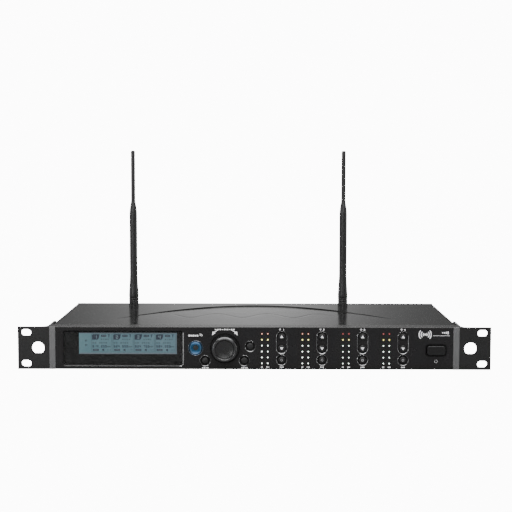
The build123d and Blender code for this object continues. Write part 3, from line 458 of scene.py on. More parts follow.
def lathe_piece(name, profile, at, material, body, replaced=(), axis="Y", segments=64, angle=35):
    bm = bmesh.new()
    closed = profile[0][0] > 1e-6
    lathe(bm, profile + [profile[0]] if closed else profile, at, axis, segments)
    bmesh.ops.remove_doubles(bm, verts=bm.verts, dist=1e-7)
    piece = add_piece(name, mesh_from(name, bm), material, body)
    sharpen(piece, angle)
    if replaced:
        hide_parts(*replaced)
    return piece


def softened(name, node, material, body="case", width=0.25):
    """A copy of a CAD node with its flat faces merged and its edges rounded."""
    mesh = NODES[node].data.copy()
    mesh.name = name
    bm = bmesh.new()
    bm.from_mesh(mesh)
    bmesh.ops.remove_doubles(bm, verts=bm.verts, dist=2e-6)
    bmesh.ops.dissolve_limit(bm, angle_limit=radians(1.0), verts=bm.verts, edges=bm.edges)
    bm.to_mesh(mesh)
    bm.free()
    piece = add_piece(name, mesh, material, body)
    bevel(piece, width, 2, 28)
    sharpen(piece, 24)
    level_normals(piece)
    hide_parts(node)
    return piece


def join_ends(bm, first, last):
    """Closes a solid between two loops of vertices."""
    bm.faces.new(first)
    bm.faces.new(list(reversed(last)))
    for i in range(len(first)):
        j = (i + 1) % len(first)
        bm.faces.new((first[i], last[i], last[j], first[j]))


def join_loops(bm, first, second):
    """Quads between two loops of vertices."""
    for i in range(len(first)):
        j = (i + 1) % len(first)
        bm.faces.new((first[i], first[j], second[j], second[i]))


def prism(bm, outline, y_front, y_back, x=0.0, z=0.0):
    """Extrudes an outline of (x, z) points, in millimetres, between two depths."""
    front = [bm.verts.new(place(x + px, y_front, z + pz)) for px, pz in outline]
    back = [bm.verts.new(place(x + px, y_back, z + pz)) for px, pz in outline]
    join_ends(bm, front, back)


def rectangle(width, height, corner=0.0, steps=6):
    """A rounded rectangle's outline about the origin."""
    if corner <= 0:
        return [(sx * width / 2, sz * height / 2) for sx, sz in ((-1, -1), (1, -1), (1, 1), (-1, 1))]
    points = []
    for quarter, (sx, sz) in enumerate(((1, 1), (-1, 1), (-1, -1), (1, -1))):
        cx, cz = sx * (width / 2 - corner), sz * (height / 2 - corner)
        for step in range(steps + 1):
            angle = pi / 2 * (quarter + step / steps)
            points.append((cx + corner * cos(angle), cz + corner * sin(angle)))
    return points


def circle(radius, steps=32):
    return [(radius * cos(2 * pi * i / steps), radius * sin(2 * pi * i / steps)) for i in range(steps)]


def band(bm, inner, outer, y_front, y_back, x=0.0, z=0.0):
    """A flat ring between two outlines that have the same number of points."""
    layers = []
    for outline, y in ((outer, y_front), (inner, y_front), (inner, y_back), (outer, y_back)):
        layers.append([bm.verts.new(place(x + px, y, z + pz)) for px, pz in outline])
    for first, second in zip(layers, layers[1:] + layers[:1]):
        join_loops(bm, first, second)


def arc_band(bm, radius, width, start, end, y_front, y_back, x, z, steps=14):
    """A flat arc from start to end, in degrees anticlockwise from +X as seen from the front."""
    angles = [radians(start + (end - start) * step / steps) for step in range(steps + 1)]
    far, near = radius + width / 2, radius - width / 2
    outline = [(far * cos(angle), far * sin(angle)) for angle in angles]
    outline += [(near * cos(angle), near * sin(angle)) for angle in reversed(angles)]
    prism(bm, outline, y_front, y_back, x, z)


def digit_strokes(digit, width, height, thick):
    """A seven-segment figure's bars, as (x, z, width, height) about its middle."""
    half_w, half_h = width / 2 - thick / 2, height / 2 - thick / 2
    bars = {
        "a": (0, half_h, width, thick),
        "d": (0, -half_h, width, thick),
        "g": (0, 0, width, thick),
        "b": (half_w, half_h / 2, thick, height / 2),
        "c": (half_w, -half_h / 2, thick, height / 2),
        "f": (-half_w, half_h / 2, thick, height / 2),
        "e": (-half_w, -half_h / 2, thick, height / 2),
    }
    lit = {
        "0": "abcdef", "1": "bc", "2": "abged", "3": "abgcd", "4": "fgbc",
        "5": "afgcd", "6": "afgecd", "7": "abc", "8": "abcdefg", "9": "abcdfg",
    }
    return [bars[name] for name in lit[digit]]


# ---- cover ----
# The pressed arc: its middle and ends, front edge, depth, rim width, and least depth as a share.
ARC_PEAK, ARC_ENDS, ARC_HALF_WIDTH, ARC_FRONT = 180.0, 61.0, 150.0, 22.0
ARC_DEPTH, ARC_RIM, ARC_LEAST = 1.3, 0.7, 0.03
WAVE_Y, WAVE_HEIGHT, WAVE_LENGTH, WAVE_HALF_WIDTH, WAVE_DEPTH = 92.0, 16.0, 56.0, 92.0, 0.16
BEND, SHEET, SIDE_GAP = 1.6, 1.2, 0.4
VENT_ROWS, VENT_COUNT, VENT_START, VENT_PITCH = (14.0, 20.0, 26.0, 32.0), 8, 66.0, 15.0
VENT_LENGTH, VENT_HEIGHT = 11.0, 2.4
SCREW_Y, SCREW_Z, SCREW_HOLE = (75.0, 130.0, 185.0), 7.5, 1.6


def smooth_step(value):
    value = min(1.0, max(0.0, value))
    return value * value * (3 - 2 * value)


def arc_line(x):
    """Where the pressed arc's rim runs, back from the ears' front face."""
    share = min(1.0, abs(x) / ARC_HALF_WIDTH)
    return ARC_PEAK - (ARC_PEAK - ARC_ENDS) * share ** 2


def arc_share(x):
    """The arc's depth at its rim as a share of the depth in the middle; it runs out at both ends."""
    return max(ARC_LEAST, 1 - min(1.0, abs(x) / ARC_HALF_WIDTH) ** 2.2)


def emblem_depth(x, y):
    """A plain wave line, pressed a little into the top."""
    ends = smooth_step((WAVE_HALF_WIDTH - abs(x)) / 6)
    slope = WAVE_HEIGHT * 2 * pi / WAVE_LENGTH * cos(2 * pi * x / WAVE_LENGTH)
    away = abs(y - WAVE_Y - WAVE_HEIGHT * sin(2 * pi * x / WAVE_LENGTH)) / sqrt(1 + slope * slope)
    return WAVE_DEPTH * ends * smooth_step((1.3 - away) / 0.8 + 0.5)


def cover_drop(x, y):
    """How far the top is pressed down at a point, in millimetres."""
    rim, share = arc_line(x), arc_share(x)
    if share <= ARC_LEAST or y >= rim:
        return emblem_depth(x, y)
    step = min(1.0, (rim - y) / (ARC_RIM * share))
    away = min(1.0, (rim - y) / (rim - ARC_FRONT))
    return ARC_DEPTH * share * step * (1 - away) ** 3 + emblem_depth(x, y)


def cover_stations(x):
    """Distances from the front at which the top is sampled, with two at the arc's rim."""
    rim, foot = arc_line(x), arc_line(x) - ARC_RIM * arc_share(x)
    before = [COVER_FRONT + (foot - COVER_FRONT) * step / 140 for step in range(140)]
    behind = [rim + (COVER_REAR - rim) * step / 20 for step in range(21)]
    return before + [foot] + behind


def cover_profile():
    """(x, z) points across the top and round both folds, closer together where the ornament is."""
    flat, inner = HALF - BEND, 96
    folds = [(-HALF, COVER_TOP - BEND)]
    for step in range(1, 9):
        angle = pi - pi / 2 * step / 8
        folds.append((-flat + BEND * cos(angle), COVER_TOP - BEND + BEND * sin(angle)))
    outer = [-flat + (flat - inner) * step / 34 for step in range(1, 35)]
    middle = [-inner + 2 * inner * step / 190 for step in range(1, 190)]
    level = [(x, COVER_TOP) for x in outer + middle + [-x for x in reversed(outer)]]
    return folds + level + [(-x, z) for x, z in reversed(folds)]


def make_cover_top(material):
    """The top of the folded sheet, with rounded folds, a pressed arc and an ornament."""
    bm = bmesh.new()
    columns = []
    for x, z in cover_profile():
        level = z > COVER_TOP - 1e-6
        columns.append([
            bm.verts.new(place(x, y, z - (cover_drop(x, y) if level else 0))) for y in cover_stations(x)
        ])
    for column, following in zip(columns, columns[1:]):
        for i in range(len(column) - 1):
            bm.faces.new((column[i], following[i], following[i + 1], column[i + 1]))
    top = add_piece("cover_top", mesh_from("cover_top", bm), material, "case")
    solid = top.modifiers.new("sheet", "SOLIDIFY")
    solid.thickness = SHEET * MM
    solid.offset = -1
    bevel(top, 0.3, 2, 75)
    sharpen(top, 40)
    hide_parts("top_cover")


def across_loops(bm, outline, y, z, ends):
    """The same outline of (y, z) points at two places across the unit."""
    return [[bm.verts.new(place(x, y + py, z + pz)) for py, pz in outline] for x in ends]


def make_cover_sides(material):
    """The sheet's two sides, cut through by the vents and the screw holes."""
    cutter = vent_cutter()
    outline = rectangle(COVER_REAR - COVER_FRONT, COVER_TOP - BEND - SIDE_GAP)
    middle_y, middle_z = (COVER_FRONT + COVER_REAR) / 2, (COVER_TOP - BEND + SIDE_GAP) / 2
    for way, side in ((-1, "left"), (1, "right")):
        bm = bmesh.new()
        join_ends(bm, *across_loops(bm, outline, middle_y, middle_z, (way * HALF, way * (HALF - SHEET))))
        name = f"cover_side_{side}"
        wall = add_piece(name, mesh_from(name, bm), material, "case")
        holes = wall.modifiers.new("vents", "BOOLEAN")
        holes.operation = "DIFFERENCE"
        holes.solver = "EXACT"
        holes.object = cutter
        apply_modifiers(wall)
        sharpen(wall, 30)
    bpy.data.objects.remove(cutter)


def vent_cutter():
    """Rows of slots and the screw holes, each running through both sides of the case."""
    bm = bmesh.new()
    ends = (-HALF - 3, HALF + 3)
    slot = rectangle(VENT_LENGTH, VENT_HEIGHT, 1.19)
    for z in VENT_ROWS:
        for index in range(VENT_COUNT):
            join_ends(bm, *across_loops(bm, slot, VENT_START + VENT_PITCH * index, z, ends))
    for y in SCREW_Y:
        join_ends(bm, *across_loops(bm, circle(SCREW_HOLE, 16), y, SCREW_Z, ends))
    return in_scene("vent_cutter", mesh_from("vent_cutter", bm))


# ---- front ----
KNOB_RADIUS, KNOB_RIBS, KNOB_RIB_DEPTH = 13.1, 48, 0.28
BUTTON_RADIUS = 3.5


def make_knob(m):
    """A ribbed skirt, a slightly dished face, and a satin rim between them."""
    at = place(KNOB_X, 0, KNOB_Z)
    skirt = [
        (9.3, -9.6), (9.6, -10.2), (10.3, -10.9), (10.7, -11.0), (11.1, -10.8), (12.6, -9.5),
        (12.95, -9.0), (13.05, -8.4), (KNOB_RADIUS, -0.2), (12.9, 0.15), (11.4, 0.2), (11.2, -6.4),
        (5.8, -6.5), (5.8, -5.0), (3.0, -5.0), (3.0, -7.6), (9.3, -7.6),
    ]
    bm = bmesh.new()
    rings = lathe(bm, skirt + [skirt[0]], at, "Y", 4 * KNOB_RIBS)
    for ring, (ring_radius, along) in zip(rings, skirt):
        if ring_radius >= 12.9 and -9.5 < along < 0:
            for step, vert in enumerate(ring):
                if step % 4 in (0, 1):
                    outward = Vector((vert.co.x - at.x, 0, vert.co.z - at.z)).normalized()
                    vert.co -= outward * KNOB_RIB_DEPTH * MM
    bmesh.ops.remove_doubles(bm, verts=bm.verts, dist=1e-7)
    skirt_piece = add_piece("knob_skirt", mesh_from("knob_skirt", bm), m["knob"], "knob_turn")
    sharpen(skirt_piece, 40)
    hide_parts("control_knob")
    face = [(0, -9.25), (1.5, -9.28), (3.0, -9.38), (4.5, -9.53), (6.0, -9.75), (7.5, -10.04), (8.6, -10.28),
            (9.0, -10.36), (9.3, -10.33), (9.3, -7.7), (0, -7.7)]
    lathe_piece("knob_face", face, at, m["knob_face"], "knob_turn", segments=96)
    rim = [(11.7, -9.99), (11.75, -10.29), (11.9, -10.27), (12.4, -9.84), (12.47, -9.68), (12.15, -9.49)]
    lathe_piece("knob_rim", rim, at, m["rim"], "knob_turn", segments=96)


def make_button(name, x, z, material):
    """A domed rubber key with a collar behind the front and a short stem for its switch."""
    profile = [
        (0, -0.32), (1.6, -0.28), (2.7, -0.16), (3.15, 0.0), (3.38, 0.22), (BUTTON_RADIUS, 0.6),
        (BUTTON_RADIUS, 2.7), (4.5, 2.7), (4.5, 3.5), (1.6, 3.5), (1.6, 3.9), (0, 3.9),
    ]
    lathe_piece(f"{name}_cap", profile, place(x, 0.1, z), material, f"{name}_body", (name,), segments=48)


def add_key_mark(name, bm, material, button):
    add_piece(name, mesh_from(name, bm), material, f"{button}_body", smooth=False)


def make_keys(m):
    """Every round key, with the arrows and squares printed on the channels' keys."""
    for name in sorted(NODES):
        if name.endswith("_button") and name != "power_button":
            x, _, z = centre(name)
            make_button(name, x, z, m["key"])
    for channel, x in enumerate(CHANNEL_X, 1):
        for way, z, label in ((1, UP_Z, "up"), (-1, DOWN_Z, "down")):
            bm = bmesh.new()
            outline = [(-1.7, -1.15 * way), (1.7, -1.15 * way), (0, 1.5 * way)]
            prism(bm, outline[::way], -0.26, 0.3, x, z)
            key = f"channel_{channel}_{label}"
            add_key_mark(f"{key}_arrow", bm, m["print"], f"{key}_button")
        bm = bmesh.new()
        band(bm, rectangle(1.5, 1.5, 0.2, 2), rectangle(2.1, 2.1, 0.4, 2), -0.2, 0.3, x, SELECT_Z)
        key = f"channel_{channel}_select"
        add_key_mark(f"{key}_mark", bm, m["print_dim"], f"{key}_button")


KEY_LIP_RADIUS, LINK_LIP_RADIUS = 5.6, 7.6
DISPLAY_LIP_HALF_WIDTH, DISPLAY_LIP_HALF_HEIGHT, DISPLAY_LIP_CORNER = 61.4, 18.1, 3.4


def lip(bm, outline_at, x, z, width):
    """A thin conical lip round an opening: outline_at(inset) gives its outline that much further in."""
    layers = [
        (outline_at(0.0), 0.3), (outline_at(0.0), -0.04), (outline_at(0.1), -0.08), (outline_at(0.18), -0.02),
        (outline_at(width), 0.9 * width), (outline_at(width), 0.9 * width + 0.3),
    ]
    rows = [[bm.verts.new(place(x + px, y, z + pz)) for px, pz in outline] for outline, y in layers]
    for first, second in zip(rows, rows[1:] + rows[:1]):
        join_loops(bm, first, second)


def make_bezels(m):
    """Thin satin lips round the keys, the key pairs and the link window; the display's lip runs only down its
    right side, as a bright painted highlight, and along its bottom, as a dim painted shade.
    """
    bm = bmesh.new()
    singles = [centre(name)[::2] for name in ("menu_button", "back_button", "lock_button")]
    singles += [(x, SELECT_Z) for x in CHANNEL_X]
    for x, z in singles:
        lip(bm, lambda inset: circle(KEY_LIP_RADIUS - inset, 64), x, z, 0.75)

    def pair_outline(inset):
        radius = KEY_LIP_RADIUS - inset
        return rectangle(2 * radius, UP_Z - DOWN_Z + 2 * radius, radius - 0.01, 12)

    for x in CHANNEL_X:
        lip(bm, pair_outline, x, (UP_Z + DOWN_Z) / 2, 0.75)
    lip(bm, lambda inset: circle(LINK_LIP_RADIUS - inset, 64), SYNC_X, SYNC_Z, 1.0)
    piece = add_piece("key_bezels", mesh_from("key_bezels", bm), m["bezel"], "case")
    sharpen(piece, 20)
    # Painted light on the display's lip: a bright copy of the lip metal down the right side stands for a
    # highlight, a dim copy along the bottom for shade; the other two sides have no lip.
    corner = DISPLAY_LIP_CORNER
    painted_highlight_run = [(DISPLAY_LIP_HALF_WIDTH, DISPLAY_LIP_HALF_HEIGHT - 1.5)]
    for step in range(11):
        angle = -pi / 2 * step / 10
        painted_highlight_run.append((DISPLAY_LIP_HALF_WIDTH - corner + corner * cos(angle),
                         corner - DISPLAY_LIP_HALF_HEIGHT + corner * sin(angle)))
    painted_shade_run = [painted_highlight_run[-1], (3.0 - DISPLAY_LIP_HALF_WIDTH, -DISPLAY_LIP_HALF_HEIGHT)]
    display_strip("display_bezel", painted_highlight_run, m["lip"])
    display_strip("display_bezel_low", painted_shade_run, m["lip_dim"])


def display_strip(name, run, material):
    """A slim sloping strip along a run of (x, z) points about the display's middle."""
    section = ((0.55, 0.3), (0.55, -0.05), (0.4, -0.1), (-0.45, 0.45), (-0.45, 0.8))
    bm = bmesh.new()
    rings = []
    for index, (px, pz) in enumerate(run):
        before, after = Vector(run[max(index - 1, 0)]), Vector(run[min(index + 1, len(run) - 1)])
        along = (after - before).normalized()
        outward = Vector((-along.y, along.x))
        rings.append([
            bm.verts.new(place(DISPLAY_X + px + outward.x * out, y, DISPLAY_Z + pz + outward.y * out * 0.5))
            for out, y in section
        ])
    for first, second in zip(rings, rings[1:]):
        join_loops(bm, first, second)
    bm.faces.new(rings[0])
    bm.faces.new(list(reversed(rings[-1])))
    piece = add_piece(name, mesh_from(name, bm), material, "case")
    sharpen(piece, 20)


def make_lamps(m):
    """A domed light pipe for each lamp, in three sets by colour."""
    dome = [
        (0, -0.62), (0.25, -0.6), (0.5, -0.53), (0.72, -0.41), (0.9, -0.23), (1.02, 0.0), (LAMP_RADIUS, 0.3),
        (LAMP_RADIUS, 4.0), (0, 4.0),
    ]
    for colour, rows in (("red", (0,)), ("yellow", (1,)), ("green", (2, 3, 4, 5))):
        bm = bmesh.new()
        for x in CHANNEL_X:
            for column in range(2):
                for row in rows:
                    lamp_x = x + LAMP_OFFSET + LAMP_COLUMN_PITCH * column
                    lathe(bm, dome, place(lamp_x, 0, LAMP_TOP_Z - LAMP_ROW_PITCH * row), "Y", 20)
        name = f"lamps_{colour}"
        piece = add_piece(name, mesh_from(name, bm), m[colour], "case")
        sharpen(piece, 50)
        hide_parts(f"led_lenses_{colour}")


# ---- printed marks ----
INK_FRONT, INK_BACK = -0.06, 0.2
EMBLEM_X, EMBLEM_Z = 174.0, 36.4


def ink_bar(bm, x, z, width, height, corner=0.0):
    prism(bm, rectangle(width, height, corner, 3), INK_FRONT, INK_BACK, x, z)


def ink_arc(bm, radius, width, start, end, x, z, steps=14):
    arc_band(bm, radius, width, start, end, INK_FRONT, INK_BACK, x, z, steps)


def print_channel(bm, channel, x):
    """A channel's figure and radio mark above its keys, and bars below the lamps and the select key."""
    for bar_x, bar_z, width, height in digit_strokes(str(channel), 1.3, 1.9, 0.34):
        ink_bar(bm, x + 1.5 + bar_x, 41.1 + bar_z, width, height)
    ink_arc(bm, 0.8, 0.3, 30, 150, x - 1.7, 40.5)
    ink_arc(bm, 1.5, 0.3, 40, 140, x - 1.7, 40.5)
    ink_bar(bm, x - 1.7, 40.6, 0.4, 0.6)
    for column, marks in enumerate((2, 3)):
        middle = x + LAMP_OFFSET + LAMP_COLUMN_PITCH * column
        for mark in range(marks):
            ink_bar(bm, middle + (mark - (marks - 1) / 2) * 1.1, 2.6, 0.6, 1.2 + 0.4 * (mark % 2))
    for mark in range(3):
        ink_bar(bm, x - 1.4 + 1.4 * mark, 2.5, 0.8, 1.2)


def print_knob(bm):
    """Bars and two turning pointers above the knob, and bars under the two keys below it."""
    for x in (-50.0, -10.1):
        for mark in range(4):
            ink_bar(bm, x - 2.6 + 1.75 * mark, 1.7, 1.15, 1.3 if mark % 2 else 1.0)
    for mark in range(9):
        ink_bar(bm, KNOB_X - 9.2 + 2.3 * mark, 41.2, 1.5, 1.2 if mark % 3 else 0.8)
    pointer = [(13.2, 13.2), (9.3, 15.9), (10.67, 16.21), (6.51, 18.91), (6.79, 19.39), (11.13, 16.99),
               (12.3, 17.4)]
    prism(bm, [(-px, pz) for px, pz in pointer], INK_FRONT, INK_BACK, KNOB_X, KNOB_Z)
    prism(bm, pointer[::-1], INK_FRONT, INK_BACK, KNOB_X, KNOB_Z)


def print_link(bm):
    """Bars and two arcs above the link window."""
    for mark in range(5):
        ink_bar(bm, SYNC_X - 6.4 + 2.1 * mark, 34.8, 1.6, 1.5 if mark % 2 else 1.8, 0.2)
    for radius in (1.3, 2.6):
        ink_arc(bm, radius, 0.5, 15, 105, SYNC_X + 4.6, 33.9)


def print_emblem(bright, dim):
    """A dot between three pairs of wave arcs, a line beside it, and four rising bars."""
    for radius in (2.0, 4.1, 6.2):
        ink_arc(bright, radius, 0.9, -42, 42, EMBLEM_X, EMBLEM_Z)
        ink_arc(bright, radius, 0.9, 138, 222, EMBLEM_X, EMBLEM_Z)
    prism(bright, circle(1.0, 20), INK_FRONT, INK_BACK, EMBLEM_X, EMBLEM_Z)
    ink_bar(dim, 190.5, 35.2, 17.0, 0.7)
    for index in range(4):
        ink_bar(bright, 191.6 + 1.9 * index, 38.2, 1.2, 0.9 + 0.6 * index, 0.2)


def make_prints(m):
    """White and grey marks printed on the front: plain symbols, channel figures and pointers, no words."""
    bright, dim = bmesh.new(), bmesh.new()
    for channel, x in enumerate(CHANNEL_X, 1):
        print_channel(bright, channel, x)
    print_knob(bright)
    print_link(bright)
    ink_arc(dim, 1.5, 0.42, 125, 415, POWER_X, 8.9, 20)
    ink_bar(dim, POWER_X, 10.1, 0.42, 1.7)
    print_emblem(bright, dim)
    for name, bm, key in (("front_marks", bright, "print"), ("front_marks_dim", dim, "print_dim")):
        add_piece(name, mesh_from(name, bm), m[key], "case", smooth=False)


# ---- display ----
def make_lcd(m):
    """What the display shows: four channel blocks of plain bars and figures."""
    layers = {name: bmesh.new() for name in ("lcd_dark", "lcd_mid", "lcd_light", "lcd_pale")}
    front, back = 3.38, 3.58
    left, top = LCD_X - 49.6, LCD_Z + 10.7

    def bar(layer, x, z, width, height, corner=0.0, lift=0.0):
        prism(layers[layer], rectangle(width, height, corner, 3), front - lift, back, x, z)

    def figures(layer, text, x, z, width, height, thick, lift=0.0):
        pitch = width * 1.42
        for index, digit in enumerate(text):
            if digit == ".":
                bar(layer, x + index * pitch - width * 0.1, z - height / 2 + thick / 2, thick, thick, 0, lift)
                continue
            for bx, bz, w, h in digit_strokes(digit, width, height, thick):
                bar(layer, x + index * pitch + bx, z + bz, w, h, 0, lift)

    bar("lcd_pale", LCD_X, top - 0.1, 99.0, 0.8)
    bar("lcd_pale", LCD_X, LCD_Z - 10.4, 99.0, 1.3)
    bar("lcd_pale", LCD_X + 49.2, LCD_Z, 0.9, 20.0)
    for z in (LCD_Z + 2.9, LCD_Z - 1.7):
        bar("lcd_mid", left + 6.8, z, 2.8, 1.0)
        bar("lcd_dark", left + 6.6, z - 0.1, 0.9, 1.9)
    for channel in range(CHANNELS):
        x = left + 12.6 + channel * 21.75
        for fx, fz, w, h in ((10.4, top - 0.9, 20.6, 0.55), (10.4, LCD_Z - 8.9, 20.6, 0.6),
                             (0.1, LCD_Z + 0.5, 0.6, 19.0), (20.6, LCD_Z + 0.5, 0.6, 19.0)):
            bar("lcd_mid", x + fx, fz, w, h)
        badge = [(0.5, -6.9), (6.0, -6.9), (7.2, -5.4), (8.2, -1.4), (1.3, -1.4), (0.5, -2.2)]
        prism(layers["lcd_dark"], badge, front - 0.02, back, x, top)
        figures("lcd_light", str(channel + 1), x + 4.1, top - 4.2, 2.3, 3.6, 0.7, 0.06)
        bar("lcd_dark", x + 12.3, top - 3.0, 5.6, 2.3, 0.9)
        for cell in range(3):
            bar("lcd_light", x + 10.9 + 1.4 * cell, top - 3.0, 0.5, 1.0, 0, 0.05)
        bar("lcd_dark", x + 17.6, top - 3.1, 0.8, 2.9)
        bar("lcd_dark", x + 17.6, top - 1.9, 2.2, 0.6)
        for mark, width in enumerate((1.5, 1.1, 1.7, 1.2)):
            bar("lcd_mid", x + 10.2 + 2.2 * mark, top - 6.6, width, 1.5)
        for mark, offset in enumerate((1.6, 3.8, 8.4, 10.4, 12.6, 14.8)):
            bar("lcd_mid", x + offset, LCD_Z + 0.5, (1.3, 1.6)[(mark + channel) % 2], 1.6)
        text = "6" + "1238"[channel] + "4." + "2570"[channel] + "50"
        figures("lcd_dark", text, x + 1.7, LCD_Z - 3.1, 1.5, 2.5, 0.5)
        bar("lcd_mid", x + 17.2, LCD_Z - 3.4, 4.4, 1.5)
        bar("lcd_dark", x + 4.2, LCD_Z - 6.8, 6.0, 2.1, 0.4)
        bar("lcd_light", x + 4.2, LCD_Z - 6.8, 4.4, 0.5, 0, 0.05)
        horn = [(10.6, -0.7), (11.4, -0.7), (12.7, -1.4), (12.7, 1.4), (11.4, 0.7), (10.6, 0.7)]
        prism(layers["lcd_dark"], horn, front, back, x, LCD_Z - 6.8)
        for mark in range(4):
            bar("lcd_mid", x + 14.6 + 1.5 * mark, LCD_Z - 6.9, 0.7, 0.8 + 0.5 * mark)
    for name, bm in layers.items():
        add_piece(name, mesh_from(name, bm), m[name], "case", smooth=False)


# ---- antennas ----
# Radii, and heights above the hinge pin. The boot's radius and the whip's length are the CAD whip's own.
WHIP_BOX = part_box("antenna_whip_left")
BOOT_RADIUS = (WHIP_BOX[1].x - WHIP_BOX[0].x) / 2 / MM
WHIP_LENGTH = WHIP_BOX[1].z / MM - AXIS_Z
SLEEVE_RADIUS, ROD_RADIUS = 4.6, 2.6
WHIP_FOOT, FLARE_START, FLARE_TOP, TAPER_START, TAPER_END, CAP_START = 7.6, 25.9, 55.0, 124.4, 142.5, 193.0
RIB_START, RIB_PITCH, RIB_COUNT, RIB_DEPTH = 12.5, 2.2, 6, 0.45
TONGUE_HALF, EYE_RADIUS, EYE_BORE = 2.7, 5.5, 1.55


def whip_profile():
    """(radius, height) pairs above the hinge, smooth along the flare and the taper."""
    boot, sleeve, rod = BOOT_RADIUS, SLEEVE_RADIUS, ROD_RADIUS
    points = [(0.0, WHIP_FOOT), (boot - 0.8, WHIP_FOOT), (boot - 0.2, WHIP_FOOT + 0.3),
              (boot, WHIP_FOOT + 0.9), (boot, RIB_START - 0.5)]
    for rib in range(RIB_COUNT):
        middle = RIB_START + rib * RIB_PITCH
        points += [(boot, middle - 0.5), (boot - 0.12, middle - 0.3), (boot - RIB_DEPTH, middle - 0.15),
                   (boot - RIB_DEPTH, middle + 0.25), (boot - 0.12, middle + 0.4), (boot, middle + 0.6)]
    for step in range(15):
        share = step / 14
        radius = boot - (boot - sleeve) * smooth_step(share ** 0.8)
        points.append((radius, FLARE_START + (FLARE_TOP - FLARE_START) * share))
    points.append((sleeve, 90.0))
    for step in range(13):
        share = step / 12
        narrowing = share ** 1.6 * (1 - share) + share * smooth_step(share)
        points.append((sleeve - (sleeve - rod) * narrowing, TAPER_START + (TAPER_END - TAPER_START) * share))
    points += [(rod, 170.0), (rod, CAP_START - 0.6), (rod - 0.3, CAP_START - 0.3),
               (rod - 0.3, CAP_START + 0.3), (rod, CAP_START + 0.6), (rod, WHIP_LENGTH - 1.9),
               (rod - 0.2, WHIP_LENGTH - 0.9), (rod - 0.9, WHIP_LENGTH - 0.2), (rod - 1.6, WHIP_LENGTH),
               (0.0, WHIP_LENGTH)]
    return points


def make_whip(side, at, material):
    bm = bmesh.new()
    lathe(bm, whip_profile(), at, "Z", 48)
    name = f"whip_{side}"
    whip = add_piece(name, mesh_from(name, bm), material, name)
    sharpen(whip, 40)
    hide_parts(f"antenna_whip_{side}")


def make_whip_eye(side, at, material):
    """The whip's flat-sided eye round the hinge pin, and the neck that joins it to the boot."""
    half, radius = TONGUE_HALF, EYE_RADIUS
    eye = [(EYE_BORE, -half), (radius - 0.6, -half), (radius - 0.2, 0.15 - half), (radius, 0.5 - half),
           (radius, half - 0.5), (radius - 0.2, half - 0.15), (radius - 0.6, half), (EYE_BORE, half)]
    bm = bmesh.new()
    lathe(bm, eye + [eye[0]], at, "X", 48)
    bmesh.ops.remove_doubles(bm, verts=bm.verts, dist=1e-7)
    neck = rectangle(2 * half, 8.4)
    low = [bm.verts.new(at + Vector((px, py, 4.0)) * MM) for px, py in neck]
    high = [bm.verts.new(at + Vector((px, py, 8.0)) * MM) for px, py in neck]
    join_ends(bm, low, high)
    name = f"whip_eye_{side}"
    piece = add_piece(name, mesh_from(name, bm), material, f"whip_{side}")
    sharpen(piece, 30)


def make_antennas(m):
    for side, x in ANTENNA_X.items():
        at = place(x, HINGE_Y, AXIS_Z)
        make_whip(side, at, m["antenna"])
        make_whip_eye(side, at, m["antenna"])


# ---- stage ----
WHITE_STRENGTH = 12.0  # emission that the view transform shows as white


def split_by_ray(tree, lit, seen, output):
    """Shows one shader to the camera, and the other to light and reflections."""
    rays = tree.nodes.new("ShaderNodeLightPath")
    mix = tree.nodes.new("ShaderNodeMixShader")
    tree.links.new(rays.outputs["Is Camera Ray"], mix.inputs[0])
    tree.links.new(lit.outputs[0], mix.inputs[1])
    tree.links.new(seen.outputs[0], mix.inputs[2])
    tree.links.new(mix.outputs[0], output.inputs["Surface"])


def make_floor():
    """A wide ground that looks white and reflects as grey."""
    bm = bmesh.new()
    bm.faces.new([bm.verts.new((x, y, -0.0002)) for x, y in ((-9, -6), (9, -6), (9, 14), (-9, 14))])
    floor = in_scene("floor", mesh_from("floor", bm))
    material = bpy.data.materials.new("floor_white")
    material.use_nodes = True
    tree = material.node_tree
    tree.nodes.clear()
    seen = tree.nodes.new("ShaderNodeEmission")
    seen.inputs["Strength"].default_value = WHITE_STRENGTH
    bounced = tree.nodes.new("ShaderNodeBsdfDiffuse")
    bounced.inputs["Color"].default_value = (0.22, 0.22, 0.22, 1)
    split_by_ray(tree, bounced, seen, tree.nodes.new("ShaderNodeOutputMaterial"))
    floor.data.materials.append(material)


# The bright patch low behind the unit: its centre and widths in radians and its reach upwards as a share of
# straight up; then its strength, the strength overhead and the strength everywhere.
PATCH_CENTRE, PATCH_RIGHT, PATCH_LEFT, PATCH_UP = -0.008, 0.087, 0.103, 0.27
PATCH_STRENGTH, OVERHEAD_STRENGTH, ROOM_STRENGTH = 0.94, 0.9, 0.115


